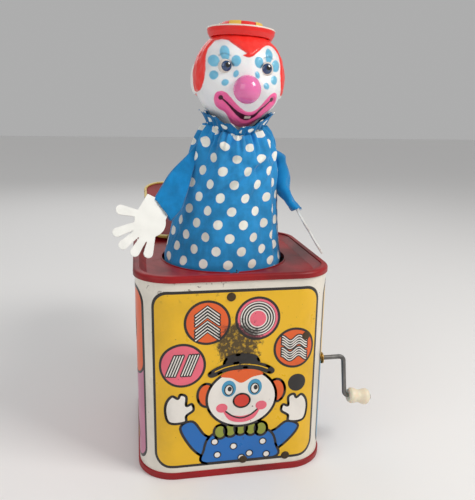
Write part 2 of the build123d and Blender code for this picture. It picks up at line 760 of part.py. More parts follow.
def make_pop_spring():
    low = BODY_BOTTOM + SEAT_THICKNESS + SPRING_WIRE + SOFT_GAP + 0.5
    height = CLAMP_Z - SPRING_WIRE - SOFT_GAP - 0.5 - low
    path = Pos(0, 0, low) * Helix(height / SPRING_TURNS, height, SPRING_RADIUS)
    section = Plane(origin=path @ 0, z_dir=path % 0) * Circle(SPRING_WIRE)
    return leaned(sweep(section, path, is_frenet=True))


# ---------------------------------------------------------------- arms


def arm_plane(shoulder, wrist, facing):
    """A plane at the shoulder: x runs down the arm and z is as near to facing as it can be."""
    along = (Vector(*wrist) - Vector(*shoulder)).normalized()
    facing = Vector(*facing)
    normal = (facing - along * facing.dot(along)).normalized()
    return Plane(origin=shoulder, x_dir=along, z_dir=normal)


ARMS = {
    "left": arm_plane((-27, -8, 238), (-49.7, -35, 193.5), (0, -1, 0)),
    "right": arm_plane((41, -4, 232), (57, -21, 190), (-0.95, 0.32, 0.0)),
}
# distance down the arm and across it
SLEEVES = {
    "left": [(-2, 4), (8, 1), (26, -5), (51, -8.5), (61, 8.6), (50, 12), (42, 12), (24, 14), (4, 12)],
    "right": [(0, -6), (45, -8), (47, 8), (24, 8), (6, 8)],
}
PALMS = {"left": (68.0, -4.5), "right": (55.5, 0.0)}


def make_sleeve(side):
    face = make_face(Polyline(*SLEEVES[side], close=True))
    sleeve = extrude(ARMS[side] * face, SLEEVE_THICKNESS / 2, both=True)
    return sleeve - costume_block(SOFT_GAP)


def make_hand(side):
    """A flat hand cut from sheet: a round palm with five fingers, and a wrist in the cuff."""
    x, y = PALMS[side]
    hand = Pos(x, y) * Circle(PALM_RADIUS)
    hand += Pos(x - WRIST_REACH / 2, y * 0.5) * Rectangle(WRIST_REACH, WRIST_WIDTH)
    for reach, angle in FINGERS:
        length = reach - FINGER_RADIUS
        finger = SlotCenterPoint((length / 2, 0), (length, 0), FINGER_RADIUS * 2)
        hand += Pos(x, y) * Rot(0, 0, angle) * finger
    hand = extrude(ARMS[side] * hand, HAND_THICKNESS / 2, both=True)
    return hand - make_sleeve(side)


# ---------------------------------------------------------------- the nodes


def main():
    os.makedirs("parts", exist_ok=True)
    save(make_body_shell(), "body_shell")
    save(make_body_seam(), "body_seam")
    save(make_bottom_pan(), "bottom_pan")
    save(make_top_pan(), "top_pan")
    for number, (x, z) in enumerate(rivet_places(), 1):
        save(make_rivet(x, z), f"rivet_{number}")
    save(make_crank_bushing(), "crank_bushing")
    save(make_mechanism_frame(), "mechanism_frame")
    save(make_cheek(CHEEK_LEFT), "cheek_left")
    save(make_cheek(CHEEK_RIGHT), "cheek_right")
    save(make_comb_base(), "comb_base")
    save(make_music_comb(), "music_comb")
    save(make_latch_bracket(), "latch_bracket")
    save(make_latch_pin(), "latch_pin")
    save(make_latch_spring(), "latch_spring")
    save(make_spring_seat(), "spring_seat")
    save(make_hem_ring(), "hem_ring")
    save(make_hinge_lugs(-1), "hinge_lugs_left")
    save(make_hinge_lugs(1), "hinge_lugs_right")
    save(make_hinge_pin(-1), "hinge_pin_left")
    save(make_hinge_pin(1), "hinge_pin_right")
    save(make_pop_spring(), "pop_spring")
    save(make_costume(), "costume")

    # the lid is drawn shut and swung open round its hinge pin
    swing = Pos(0, HINGE_Y, HINGE_Z) * Rot(-LID_OPEN, 0, 0) * Pos(0, -HINGE_Y, -HINGE_Z)
    save(swing * make_lid_pan(), "lid_pan")
    save(swing * make_lid_hem(), "lid_hem")
    save(swing * make_lid_leaf(-1), "lid_leaf_left")
    save(swing * make_lid_leaf(1), "lid_leaf_right")
    save(swing * make_lid_catch(), "lid_catch")

    save(make_crank_rod(), "crank_rod")
    save(make_crank_collar(), "crank_collar")
    save(make_crank_pinion(), "crank_pinion")
    save(make_knob_cap(), "knob_cap")
    save(make_crank_knob(), "crank_knob")
    save(make_drum_axle(), "drum_axle")
    save(make_music_drum(), "music_drum")
    save(make_drum_gear(), "drum_gear")
    save(make_release_cam(), "release_cam")
    save(make_latch_lever(), "latch_lever")

    save(make_neck_plug(), "neck_plug")
    save(make_neck_cap(), "neck_cap")
    save(make_spring_clamp(), "spring_clamp")
    save(make_head_front(), "head_front")
    save(make_head_back(), "head_back")
    save(make_eye(-1), "eye_left")
    save(make_eye(1), "eye_right")
    save(make_nose(), "nose")
    save(make_teeth(), "teeth")
    save(make_hat_brim(), "hat_brim")
    save(make_hat_crown(), "hat_crown")
    save(make_collar(), "collar")
    for side in ARMS:
        save(make_sleeve(side), f"{side}_sleeve")
        save(make_hand(side), f"{side}_hand")


main()
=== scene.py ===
"""Jack in the box: the looks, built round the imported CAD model. Metres, +Z up, front towards -Y."""

import json
import math
import bmesh
import bpy
import numpy as np
from mathutils import Matrix, Vector, noise
from mathutils.geometry import tessellate_polygon
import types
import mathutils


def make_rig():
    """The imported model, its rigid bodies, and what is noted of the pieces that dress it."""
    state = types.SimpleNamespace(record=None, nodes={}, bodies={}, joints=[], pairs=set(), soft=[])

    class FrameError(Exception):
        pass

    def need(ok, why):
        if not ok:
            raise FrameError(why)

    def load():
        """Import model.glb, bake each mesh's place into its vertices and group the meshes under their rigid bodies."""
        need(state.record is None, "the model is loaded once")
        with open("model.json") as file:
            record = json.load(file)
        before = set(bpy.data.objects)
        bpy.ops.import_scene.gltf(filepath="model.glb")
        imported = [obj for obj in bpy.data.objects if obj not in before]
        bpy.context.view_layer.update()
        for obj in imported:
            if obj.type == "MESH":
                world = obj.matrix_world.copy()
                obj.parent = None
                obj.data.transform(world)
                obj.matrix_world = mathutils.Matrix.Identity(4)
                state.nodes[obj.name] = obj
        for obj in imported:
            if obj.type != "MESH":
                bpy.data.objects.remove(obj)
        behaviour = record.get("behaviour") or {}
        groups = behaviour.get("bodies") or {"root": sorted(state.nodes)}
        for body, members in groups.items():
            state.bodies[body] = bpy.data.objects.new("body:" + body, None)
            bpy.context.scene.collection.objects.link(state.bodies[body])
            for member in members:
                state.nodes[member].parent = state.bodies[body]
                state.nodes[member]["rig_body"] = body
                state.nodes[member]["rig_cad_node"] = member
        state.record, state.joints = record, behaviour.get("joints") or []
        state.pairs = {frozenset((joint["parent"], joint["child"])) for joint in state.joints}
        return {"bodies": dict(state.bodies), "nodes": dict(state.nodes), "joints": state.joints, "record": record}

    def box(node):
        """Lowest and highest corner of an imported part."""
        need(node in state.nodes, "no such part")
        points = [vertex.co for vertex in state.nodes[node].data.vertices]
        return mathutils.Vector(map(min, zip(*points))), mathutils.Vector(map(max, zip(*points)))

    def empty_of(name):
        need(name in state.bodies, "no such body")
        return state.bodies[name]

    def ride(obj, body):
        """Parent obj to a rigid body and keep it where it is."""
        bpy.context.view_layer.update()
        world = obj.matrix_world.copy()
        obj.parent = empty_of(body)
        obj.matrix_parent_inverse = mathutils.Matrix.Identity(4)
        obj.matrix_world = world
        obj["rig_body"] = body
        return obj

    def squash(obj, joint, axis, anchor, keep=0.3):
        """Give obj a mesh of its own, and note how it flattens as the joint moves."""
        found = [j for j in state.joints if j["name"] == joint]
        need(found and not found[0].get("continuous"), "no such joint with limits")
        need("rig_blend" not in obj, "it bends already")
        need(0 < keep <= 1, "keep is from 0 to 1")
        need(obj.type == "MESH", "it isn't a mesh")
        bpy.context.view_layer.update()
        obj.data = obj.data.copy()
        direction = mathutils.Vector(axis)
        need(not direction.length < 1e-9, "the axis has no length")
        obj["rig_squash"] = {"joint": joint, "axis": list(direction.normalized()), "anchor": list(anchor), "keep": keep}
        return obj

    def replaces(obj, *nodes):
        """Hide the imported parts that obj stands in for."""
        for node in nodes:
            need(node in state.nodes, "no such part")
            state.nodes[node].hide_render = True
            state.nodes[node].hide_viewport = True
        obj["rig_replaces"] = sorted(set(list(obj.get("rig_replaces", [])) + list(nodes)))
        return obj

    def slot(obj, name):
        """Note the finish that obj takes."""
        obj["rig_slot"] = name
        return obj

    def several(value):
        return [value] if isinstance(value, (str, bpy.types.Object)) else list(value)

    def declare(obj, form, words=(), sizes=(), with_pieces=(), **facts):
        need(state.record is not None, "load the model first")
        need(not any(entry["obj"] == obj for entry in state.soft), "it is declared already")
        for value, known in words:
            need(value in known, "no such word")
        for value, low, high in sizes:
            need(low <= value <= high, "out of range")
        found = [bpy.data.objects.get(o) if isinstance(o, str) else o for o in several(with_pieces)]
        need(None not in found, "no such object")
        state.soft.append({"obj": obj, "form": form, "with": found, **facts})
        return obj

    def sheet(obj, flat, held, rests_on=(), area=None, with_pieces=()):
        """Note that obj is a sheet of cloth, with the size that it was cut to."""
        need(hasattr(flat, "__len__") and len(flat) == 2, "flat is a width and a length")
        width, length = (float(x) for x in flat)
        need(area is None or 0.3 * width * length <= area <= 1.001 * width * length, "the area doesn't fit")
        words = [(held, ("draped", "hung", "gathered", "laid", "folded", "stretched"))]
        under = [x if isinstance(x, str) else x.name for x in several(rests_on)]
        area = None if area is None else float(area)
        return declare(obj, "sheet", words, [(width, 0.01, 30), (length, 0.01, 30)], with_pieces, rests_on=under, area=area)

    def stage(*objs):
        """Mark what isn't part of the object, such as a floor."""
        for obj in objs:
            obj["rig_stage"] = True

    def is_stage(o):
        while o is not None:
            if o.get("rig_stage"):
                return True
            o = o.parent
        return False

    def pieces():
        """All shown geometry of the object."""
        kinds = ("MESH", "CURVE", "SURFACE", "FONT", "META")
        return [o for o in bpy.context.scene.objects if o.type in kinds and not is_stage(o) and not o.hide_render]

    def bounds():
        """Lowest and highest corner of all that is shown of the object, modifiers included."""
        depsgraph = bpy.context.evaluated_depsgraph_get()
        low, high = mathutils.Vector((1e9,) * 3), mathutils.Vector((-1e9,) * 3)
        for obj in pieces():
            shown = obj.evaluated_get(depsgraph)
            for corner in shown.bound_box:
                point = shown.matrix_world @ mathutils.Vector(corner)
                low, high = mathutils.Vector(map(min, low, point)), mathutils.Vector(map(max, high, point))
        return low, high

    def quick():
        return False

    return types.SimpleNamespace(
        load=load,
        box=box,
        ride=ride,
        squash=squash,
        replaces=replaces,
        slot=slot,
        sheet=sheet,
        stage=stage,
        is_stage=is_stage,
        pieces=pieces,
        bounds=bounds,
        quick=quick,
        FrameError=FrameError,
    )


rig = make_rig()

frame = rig.load()
nodes = frame["nodes"]
cad_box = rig.bounds()
MM = 0.001

# ---------------------------------------------------------------- measures from the frame

BOX_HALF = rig.box("body_shell")[1].x
CORNER = 27 * MM                       # radius of the box's upright corners
LEAN = math.radians(2.1)               # the jack leans towards the crank
HEAD_Z = 287 * MM                       # middle of the head, before the lean
HEAD_RADIUS = 33.6                      # mm, of the plain ball under the moulding
HAT_Z = 320.55                          # mm, the brim's mid-height


def leaned(x, y, z):
    """A point of the upright jack where it stands when the jack leans."""
    return Vector((x * math.cos(LEAN) + z * math.sin(LEAN), y, z * math.cos(LEAN) - x * math.sin(LEAN)))


# ---------------------------------------------------------------- node helpers


def new_material(name):
    material = bpy.data.materials.new(name)
    material.use_nodes = True
    tree = material.node_tree
    tree.nodes.clear()
    shader = tree.nodes.new("ShaderNodeBsdfPrincipled")
    output = tree.nodes.new("ShaderNodeOutputMaterial")
    tree.links.new(shader.outputs[0], output.inputs[0])
    return material, tree, shader


def add(tree, kind, inputs=None, **settings):
    """A node with its settings, and its inputs given as values or as sockets to link."""
    node = tree.nodes.new(kind)
    for key, value in settings.items():
        setattr(node, key, value)
    for key, value in (inputs or {}).items():
        if isinstance(value, bpy.types.NodeSocket):
            tree.links.new(value, node.inputs[key])
        else:
            node.inputs[key].default_value = value
    return node


def math_node(tree, operation, a, b=0.0):
    return add(tree, "ShaderNodeMath", {0: a, 1: b}, operation=operation).outputs[0]


def times(tree, a, b):
    return math_node(tree, "MULTIPLY", a, b)


def plus(tree, a, b):
    return math_node(tree, "ADD", a, b)


def mix(tree, factor, a, b, blend="MIX"):
    node = add(tree, "ShaderNodeMix", {0: factor, 6: a, 7: b}, data_type="RGBA", blend_type=blend)
    return node.outputs[2]


def colour(rgb):
    """A display colour, 0 to 255, as the linear colour that a shader takes."""
    return tuple((c / 255 / 12.92 if c <= 10 else ((c / 255 + 0.055) / 1.055) ** 2.4) for c in rgb) + (1.0,)


def ramp(tree, value, low, high):
    """0 under low and 1 over high."""
    settings = {0: value, 1: low, 2: high}
    return add(tree, "ShaderNodeMapRange", settings, interpolation_type="SMOOTHSTEP").outputs[0]


def object_point(tree):
    return add(tree, "ShaderNodeTexCoord").outputs["Object"]


def noise_of(tree, point, scale, detail=3.0, roughness=0.55, distortion=0.0):
    return add(
        tree, "ShaderNodeTexNoise",
        {"Vector": point, "Scale": scale, "Detail": detail, "Roughness": roughness, "Distortion": distortion},
    ).outputs[0]


def set_inputs(shader, values):
    for name, value in values.items():
        shader.inputs[name].default_value = value


def bump(tree, shader, height, strength, distance):
    node = add(tree, "ShaderNodeBump", {"Height": height, "Strength": strength, "Distance": distance})
    tree.links.new(node.outputs[0], shader.inputs["Normal"])


def near(tree, point, place, radius):
    """1 at a place, falling to 0 at a radius from it."""
    away = add(tree, "ShaderNodeVectorMath", {0: point, 1: place}, operation="DISTANCE").outputs["Value"]
    return ramp(tree, away, radius, radius * 0.15)


# ---------------------------------------------------------------- materials

SOOT_PLACE = (0.5 * MM, -BOX_HALF, 104 * MM)


def printed_tin(name, rgb, rough=0.3):
    """Litho ink on tin under old varnish: grime, pinprick rust, chips at the top, a scorch on the front."""
    material, tree, shader = new_material(name)
    point = object_point(tree)
    base = colour(rgb)
    grime = ramp(tree, noise_of(tree, point, 28, 5, 0.6), 0.42, 0.75)
    tone = mix(tree, times(tree, grime, 0.22), base, colour([c * 0.62 for c in rgb]))
    specks = ramp(tree, noise_of(tree, point, 520, 2, 0.5), 0.715, 0.75)
    patches = ramp(tree, noise_of(tree, point, 34, 2, 0.5), 0.5, 0.62)
    specks = times(tree, specks, patches)
    edge = ramp(tree, add(tree, "ShaderNodeSeparateXYZ", {0: point}).outputs["Z"], 0.132, 0.152)
    chips = ramp(tree, noise_of(tree, point, 230, 3, 0.6), 0.60, 0.66)
    left = ramp(tree, add(tree, "ShaderNodeSeparateXYZ", {0: point}).outputs["X"], 0.02, -0.03)
    chips = times(tree, times(tree, chips, edge), left)
    scorch = near(tree, point, SOOT_PLACE, 27 * MM)
    spatter = ramp(tree, noise_of(tree, point, 330, 4, 0.65), 0.74, 0.50)
    cloud = plus(tree, noise_of(tree, point, 190, 4, 0.7), times(tree, scorch, 0.58))
    scorch = times(tree, ramp(tree, cloud, 0.68, 0.88), ramp(tree, scorch, 0.0, 0.3))
    scorch = times(tree, scorch, math_node(tree, "MAXIMUM", spatter, 0.4))
    dark = math_node(tree, "MAXIMUM", specks, chips)
    tone = mix(tree, times(tree, dark, 0.85), tone, colour((58, 34, 24)))
    tone = mix(tree, times(tree, scorch, 0.92), tone, colour((30, 22, 18)))
    tree.links.new(tone, shader.inputs["Base Color"])
    gloss = times(tree, noise_of(tree, point, 60, 4), 0.22)
    gloss = plus(tree, gloss, times(tree, plus(tree, dark, scorch), 0.3))
    tree.links.new(plus(tree, gloss, rough - 0.1), shader.inputs["Roughness"])
    set_inputs(shader, {"Specular IOR Level": 0.5, "Coat Weight": 0.25, "Coat Roughness": 0.15})
    height = plus(tree, noise_of(tree, point, 22, 2), times(tree, dark, -0.2))
    bump(tree, shader, height, 0.25, 1.2 * MM)
    return material


def enamel_red(name, rgb, rough=0.28):
    """Deep red enamel, darker in cloudy patches and rubbed dull in others, with bare rusty nicks."""
    material, tree, shader = new_material(name)
    point = object_point(tree)
    base = colour(rgb)
    cloud = noise_of(tree, point, 18, 5, 0.6, 0.4)
    tone = mix(tree, ramp(tree, cloud, 0.35, 0.72), base, colour([c * 0.66 for c in rgb]))
    rub = ramp(tree, noise_of(tree, point, 46, 5, 0.65), 0.56, 0.74)
    tone = mix(tree, times(tree, rub, 0.22), tone, colour((120, 62, 54)))
    nick = ramp(tree, noise_of(tree, point, 380, 3, 0.6), 0.70, 0.735)
    nick = times(tree, nick, ramp(tree, noise_of(tree, point, 40, 2), 0.48, 0.6))
    tone = mix(tree, times(tree, nick, 0.8), tone, colour((52, 30, 24)))
    tree.links.new(tone, shader.inputs["Base Color"])
    gloss = plus(tree, times(tree, cloud, 0.22), times(tree, rub, 0.2))
    tree.links.new(plus(tree, gloss, rough + 0.04), shader.inputs["Roughness"])
    set_inputs(shader, {"Specular IOR Level": 0.28, "Coat Weight": 0.08, "Coat Roughness": 0.25})
    bump(tree, shader, noise_of(tree, point, 60, 3), 0.15, 0.6 * MM)
    return material


def metal(name, rgb, rough, grain=240.0):
    """Bare or plated metal with tarnish and a directional grain."""
    material, tree, shader = new_material(name)
    point = object_point(tree)
    stretched = add(tree, "ShaderNodeMapping", {"Vector": point, "Scale": (0.25, 1.0, 1.0)}).outputs[0]
    streak = noise_of(tree, stretched, grain, 4, 0.6)
    tarnish = ramp(tree, noise_of(tree, point, 90, 4, 0.6), 0.4, 0.7)
    tone = mix(tree, times(tree, tarnish, 0.5), colour(rgb), colour([c * 0.5 for c in rgb]))
    tree.links.new(tone, shader.inputs["Base Color"])
    tree.links.new(plus(tree, times(tree, streak, 0.3), rough - 0.1),
                   shader.inputs["Roughness"])
    shader.inputs["Metallic"].default_value = 1.0
    bump(tree, shader, streak, 0.12, 0.15 * MM)
    return material


def plastic(name, rgb, rough=0.25, coat=0.3, stain=0.2, scatter=0.0):
    """Moulded plastic: handling marks, a slightly uneven gloss and mould texture."""
    material, tree, shader = new_material(name)
    point = object_point(tree)
    mark = ramp(tree, noise_of(tree, point, 70, 5, 0.65), 0.5, 0.8)
    tone = mix(tree, times(tree, mark, stain), colour(rgb), colour([c * 0.7 for c in rgb]))
    tree.links.new(tone, shader.inputs["Base Color"])
    tree.links.new(plus(tree, times(tree, noise_of(tree, point, 120, 3), 0.12),
                             rough - 0.05), shader.inputs["Roughness"])
    set_inputs(shader, {"Coat Weight": coat, "Coat Roughness": 0.08, "Subsurface Weight": scatter,
                        "Subsurface Scale": 2.0 * MM})
    bump(tree, shader, noise_of(tree, point, 300, 2), 0.06, 0.1 * MM)
    return material


def weave_height(tree, uv, threads):
    """Over-and-under threads of a plain weave; uv is in millimetres."""
    parts = add(tree, "ShaderNodeSeparateXYZ", {0: uv})
    waves = []
    for axis in ("X", "Y"):
        angle = times(tree, parts.outputs[axis], threads * math.tau)
        waves.append(math_node(tree, "SINE", angle))
    return times(tree, waves[0], waves[1])


DOT_ACROSS = 18.4                       # mm between dots in a row
DOT_ROW = 9.5                           # mm between rows, each shifted by half a cell
DOT_RADIUS = 3.4


def cloth(name, rgb, dots=False):
    """Printed cotton: plain weave, mottled dye, lighter threads and white printed dots."""
    material, tree, shader = new_material(name)
    uv = add(tree, "ShaderNodeUVMap", uv_map="cloth").outputs[0]
    point = object_point(tree)
    mottled = noise_of(tree, point, 75, 5, 0.6)
    tone = mix(tree, ramp(tree, mottled, 0.3, 0.75), colour(rgb), colour([c * 0.8 for c in rgb]))
    drawn_out = add(tree, "ShaderNodeMapping", {"Vector": uv, "Scale": (6, 0.7, 1)}).outputs[0]
    threads = noise_of(tree, drawn_out, 1.0, 2)
    tone = mix(tree, times(tree, threads, 0.16), tone, colour([min(255, c * 1.25) for c in rgb]))
    if dots:
        wobble = times(tree, math_node(tree, "SUBTRACT", noise_of(tree, uv, 1.6, 2), 0.5), 0.55)
        parts = add(tree, "ShaderNodeSeparateXYZ", {0: uv})
        spots = []
        for shift in (0.0, 0.5):
            sides = []
            for axis, cell in (("X", DOT_ACROSS), ("Y", DOT_ROW * 2)):
                turns = plus(tree, math_node(tree, "DIVIDE", parts.outputs[axis], cell), shift)
                offset = math_node(tree, "SUBTRACT", math_node(tree, "FRACT", turns), 0.5)
                sides.append(math_node(tree, "POWER", times(tree, offset, cell), 2.0))
            spots.append(math_node(tree, "SQRT", plus(tree, *sides)))
        away = plus(tree, math_node(tree, "MINIMUM", *spots), wobble)
        dot = ramp(tree, away, DOT_RADIUS + 0.18, DOT_RADIUS - 0.18)
        stained = mix(tree, ramp(tree, noise_of(tree, point, 30, 3), 0.4, 0.7), colour((246, 246, 236)),
                      colour((222, 220, 208)))
        tone = mix(tree, dot, tone, stained)
    tree.links.new(tone, shader.inputs["Base Color"])
    set_inputs(shader, {"Roughness": 0.82, "Sheen Weight": 0.25, "Sheen Roughness": 0.4,
                        "Specular IOR Level": 0.25})
    height = plus(tree, times(tree, weave_height(tree, uv, 2.2), 0.5),
                       times(tree, mottled, 1.5))
    bump(tree, shader, height, 0.35, 0.25 * MM)
    return material


INKS = {
    "yellow": (236, 184, 8), "black": (26, 20, 18), "orange": (230, 92, 20), "pink": (238, 104, 124),
    "white": (238, 232, 224), "blue": (0, 104, 184), "red": (222, 52, 30), "olive": (142, 150, 48),
    "sky": (64, 150, 190), "mauve": (196, 120, 150), "green": (70, 140, 80), "cream": (228, 221, 208),
}
ink = {name: printed_tin(f"ink_{name}", rgb) for name, rgb in INKS.items()}
RED_TIN = enamel_red("red_enamel", (158, 22, 28))
RED_LID = enamel_red("red_lid", (138, 14, 18), 0.4)
YELLOW_HEM = printed_tin("yellow_hem", (206, 178, 84), 0.35)
STEEL = metal("plated_steel", (168, 165, 160), 0.42)
DARK_STEEL = metal("dark_steel", (84, 76, 70), 0.5)
RIVET = metal("rivet_steel", (96, 82, 66), 0.55)
WIRE_STEEL = metal("wire_steel", (128, 126, 124), 0.42)
BRASS = metal("dull_brass", (196, 158, 92), 0.4)
IVORY = plastic("ivory_plastic", (236, 224, 198), 0.4, 0.1, 0.25, 0.15)
NYLON = plastic("nylon", (220, 218, 208), 0.45, 0.0, 0.2, 0.1)
DOTTED = cloth("dotted_cotton", (44, 148, 212), dots=True)
BLUE_CLOTH = cloth("plain_cotton", (14, 132, 196))
# painted shade: the collar's dotted cotton is a darker copy of the costume's, for the shade the collar lies in
SHADED_COLLAR_CLOTH = cloth("collar_cotton_shaded", (24, 122, 182), dots=True)
HAND_VINYL = plastic("hand_vinyl", (240, 240, 234), 0.5, 0.0, 0.12, 0.0)
NOSE_PINK = plastic("nose_pink", (236, 116, 176), 0.16, 0.6, 0.1, 0.1)
HAT_RED = plastic("hat_red", (236, 34, 28), 0.32, 0.15, 0.1)
HAT_WHITE = plastic("hat_edge", (238, 222, 210), 0.3, 0.3, 0.2)
HAT_YELLOW = plastic("hat_yellow", (238, 196, 84), 0.25, 0.4, 0.2)
EAR_WHITE = plastic("ear_white", (240, 238, 234), 0.2, 0.5, 0.08, 0.05)
PUPIL = plastic("pupil_black", (14, 14, 18), 0.08, 1.0, 0.0)
IRIS = plastic("iris_blue", (30, 62, 106), 0.1, 1.0, 0.2)
TOOTH = plastic("tooth_white", (226, 214, 204), 0.3, 0.3, 0.1)

# ---------------------------------------------------------------- mesh helpers


def mesh_piece(name, vertices, faces, material, smooth=True):
    mesh = bpy.data.meshes.new(name)
    mesh.from_pydata([tuple(v) for v in vertices], [], [tuple(f) for f in faces])
    mesh.update()
    piece = bpy.data.objects.new(name, mesh)
    bpy.context.scene.collection.objects.link(piece)
    for m in material if isinstance(material, list) else [material]:
        mesh.materials.append(m)
    mesh.shade_smooth() if smooth else mesh.shade_flat()
    return piece


def apply_modifiers(piece):
    """Turns a piece's modifiers into its mesh."""
    bpy.context.view_layer.update()
    depsgraph = bpy.context.evaluated_depsgraph_get()
    mesh = bpy.data.meshes.new_from_object(piece.evaluated_get(depsgraph))
    piece.modifiers.clear()
    piece.data = mesh
    return piece


def grid_faces(rows, columns, closed=True):
    """Quads of a grid of points, row by row; closed joins each row's end to its start."""
    faces = []
    for i in range(rows - 1):
        for j in range(columns if closed else columns - 1):
            k = (j + 1) % columns
            faces.append((i * columns + j, i * columns + k, (i + 1) * columns + k, (i + 1) * columns + j))
    return faces


def close_up(piece, weld=0.0):
    """Welds points nearer than weld, fills the open ends and turns every face outwards."""
    whole = bmesh.new()
    whole.from_mesh(piece.data)
    if weld:
        bmesh.ops.remove_doubles(whole, verts=whole.verts, dist=weld)
    bmesh.ops.holes_fill(whole, edges=[e for e in whole.edges if e.is_boundary], sides=0)
    bmesh.ops.recalc_face_normals(whole, faces=whole.faces)
    whole.to_mesh(piece.data)
    whole.free()
    piece.data.shade_smooth()


def smooth_outline(points, steps=6, closed=True):
    """A Catmull-Rom curve through points."""
    count = len(points)
    out = []
    for i in range(count if closed else count - 1):
        pick = [points[(i + k) % count] if closed else points[min(max(i + k, 0), count - 1)]
                for k in (-1, 0, 1, 2)]
        p0, p1, p2, p3 = [np.array(p, float) for p in pick]
        for s in range(steps):
            t = s / steps
            out.append(0.5 * (2 * p1 + (p2 - p0) * t + (2 * p0 - 5 * p1 + 4 * p2 - p3) * t * t
                              + (3 * p1 - p0 - 3 * p2 + p3) * t**3))
    if not closed:
        out.append(np.array(points[-1], float))
    return [tuple(p) for p in out]


def circle(x, y, rx, ry=None, steps=48, turn=0.0):
    ry = ry or rx
    points = []
    for i in range(steps):
        a = math.tau * i / steps
        dx, dy = rx * math.cos(a), ry * math.sin(a)
        points.append((x + dx * math.cos(turn) - dy * math.sin(turn),
                       y + dx * math.sin(turn) + dy * math.cos(turn)))
    return points


def rounded_rectangle(x0, x1, y0, y1, radius, steps=8):
    points = []
    for cx, cy, start in ((x1, y1, 0), (x0, y1, 90), (x0, y0, 180), (x1, y0, 270)):
        sx, sy = (-1 if cx == x1 else 1), (-1 if cy == y1 else 1)
        for i in range(steps + 1):
            a = math.radians(start + 90 * i / steps)
            points.append((cx + sx * radius + radius * math.cos(a), cy + sy * radius + radius * math.sin(a)))
    return points


def band(path, width, closed=False):
    """The outline of a line of some width along a path, with round ends."""
    points = [np.array(p, float) for p in path]
    left, right = [], []
    count = len(points)
    for i, p in enumerate(points):
        before = points[i - 1] if closed or i else points[0]
        after = points[(i + 1) % count] if closed or i < count - 1 else points[-1]
        along = (after - before) / max(np.linalg.norm(after - before), 1e-9)
        across = np.array((-along[1], along[0])) * width / 2
        left.append(p + across)
        right.append(p - across)
    ends = []
    for p, q, side in ((points[-1], points[-2], left), (points[0], points[1], right)):
        heading = math.atan2(*(p - q)[::-1])
        ends.append([p + width / 2 * np.array((math.cos(heading + a), math.sin(heading + a)))
                     for a in np.linspace(math.pi / 2, -math.pi / 2, 7)[1:-1]])
    return [tuple(p) for p in left + ends[0] + right[::-1] + ends[1]]


# ---------------------------------------------------------------- the printed pictures

HALF_MM = BOX_HALF / MM
CORNER_MM = CORNER / MM
FLAT_MM = HALF_MM - CORNER_MM
QUARTER = 2 * FLAT_MM + CORNER_MM * math.pi / 2     # run of wall from one face's middle to the next


def wall_point(run, z, lift):
    """The point at a run of millimetres round the wall from the front's middle, lifted off the tin."""
    face = math.floor(run / QUARTER + 0.5)
    local = run - face * QUARTER
    past = max(0.0, abs(local) - FLAT_MM)
    turn = past / CORNER_MM
    radius = CORNER_MM + lift
    x = min(abs(local), FLAT_MM) + radius * math.sin(turn)
    y = -FLAT_MM - radius * math.cos(turn)
    spot = Matrix.Rotation(face * math.pi / 2, 3, "Z") @ Vector((math.copysign(x, local), y, z))
    return spot * MM


LAYER = 0.035                            # mm between one ink and the next


def draw(name, outline, colour_name, level, centre=0.0):
    """An ink shape on the wall: its outline is in millimetres round the wall and up it."""
    flat = [Vector((p[0], p[1], 0)) for p in outline]
    shape = bmesh.new()
    corners = [shape.verts.new(p) for p in flat]
    for triangle in tessellate_polygon([flat]):
        try:
            shape.faces.new([corners[i] for i in triangle])
        except ValueError:
            continue
    low, high = min(p.x for p in flat), max(p.x for p in flat)
    for step in range(-34, 35):
        cut = math.copysign(FLAT_MM, step) + step * 1.25 if step else 0.0
        if low < cut < high:
            everything = shape.verts[:] + shape.edges[:] + shape.faces[:]
            bmesh.ops.bisect_plane(shape, geom=everything, plane_co=(cut, 0, 0), plane_no=(1, 0, 0))
    for v in shape.verts:
        v.co = wall_point(v.co.x + centre, v.co.y, LAYER * level)
    bmesh.ops.recalc_face_normals(shape, faces=shape.faces)
    mesh = bpy.data.meshes.new(name)
    shape.to_mesh(mesh)
    shape.free()
    mesh.materials.append(ink[colour_name])
    piece = bpy.data.objects.new(name, mesh)
    bpy.context.scene.collection.objects.link(piece)
    return piece


class Picture:
    """The ink shapes of one face, joined by colour when it is finished."""

    def __init__(self, name, centre):
        self.name, self.centre, self.shapes = name, centre, {}

    def shape(self, outline, colour_name, level):
        piece = draw(f"{self.name}_shape", outline, colour_name, level, self.centre)
        self.shapes.setdefault(colour_name, []).append(piece)

    def outlined(self, outline, colour_name, level, line=1.9):
        """A shape with a black line round it, of which half lies outside."""
        self.shape(outline, colour_name, level)
        path = list(outline)
        for start in range(0, len(path), 10):
            run = [path[(start + k) % len(path)] for k in range(12)]
            self.shape(band(run, line), "black", level + 1)

    def line(self, path, width, colour_name, level):
        self.shape(band(path, width), colour_name, level)

    def finish(self):
        for colour_name, shapes in self.shapes.items():
            whole = bmesh.new()
            for piece in shapes:
                whole.from_mesh(piece.data)
            mesh = bpy.data.meshes.new(f"{self.name}_{colour_name}")
            whole.to_mesh(mesh)
            whole.free()
            mesh.materials.append(ink[colour_name])
            joined = bpy.data.objects.new(f"{self.name}_{colour_name}", mesh)
            bpy.context.scene.collection.objects.link(joined)
            for piece in shapes:
                bpy.data.objects.remove(piece)
            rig.ride(joined, "box")
            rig.slot(joined, "tin_art")


PANEL_HALF = 60.5
PANEL_LOW, PANEL_HIGH = 9.0, 144.5


def panel(picture, colour_name):
    outer = rounded_rectangle(-PANEL_HALF, PANEL_HALF, PANEL_LOW, PANEL_HIGH, 12.0)
    inner = rounded_rectangle(-PANEL_HALF + 2.1, PANEL_HALF - 2.1, PANEL_LOW + 2.1, PANEL_HIGH - 2.1, 10.2)
    picture.shape(outer, "black", 1)
    picture.shape(inner, colour_name, 2)


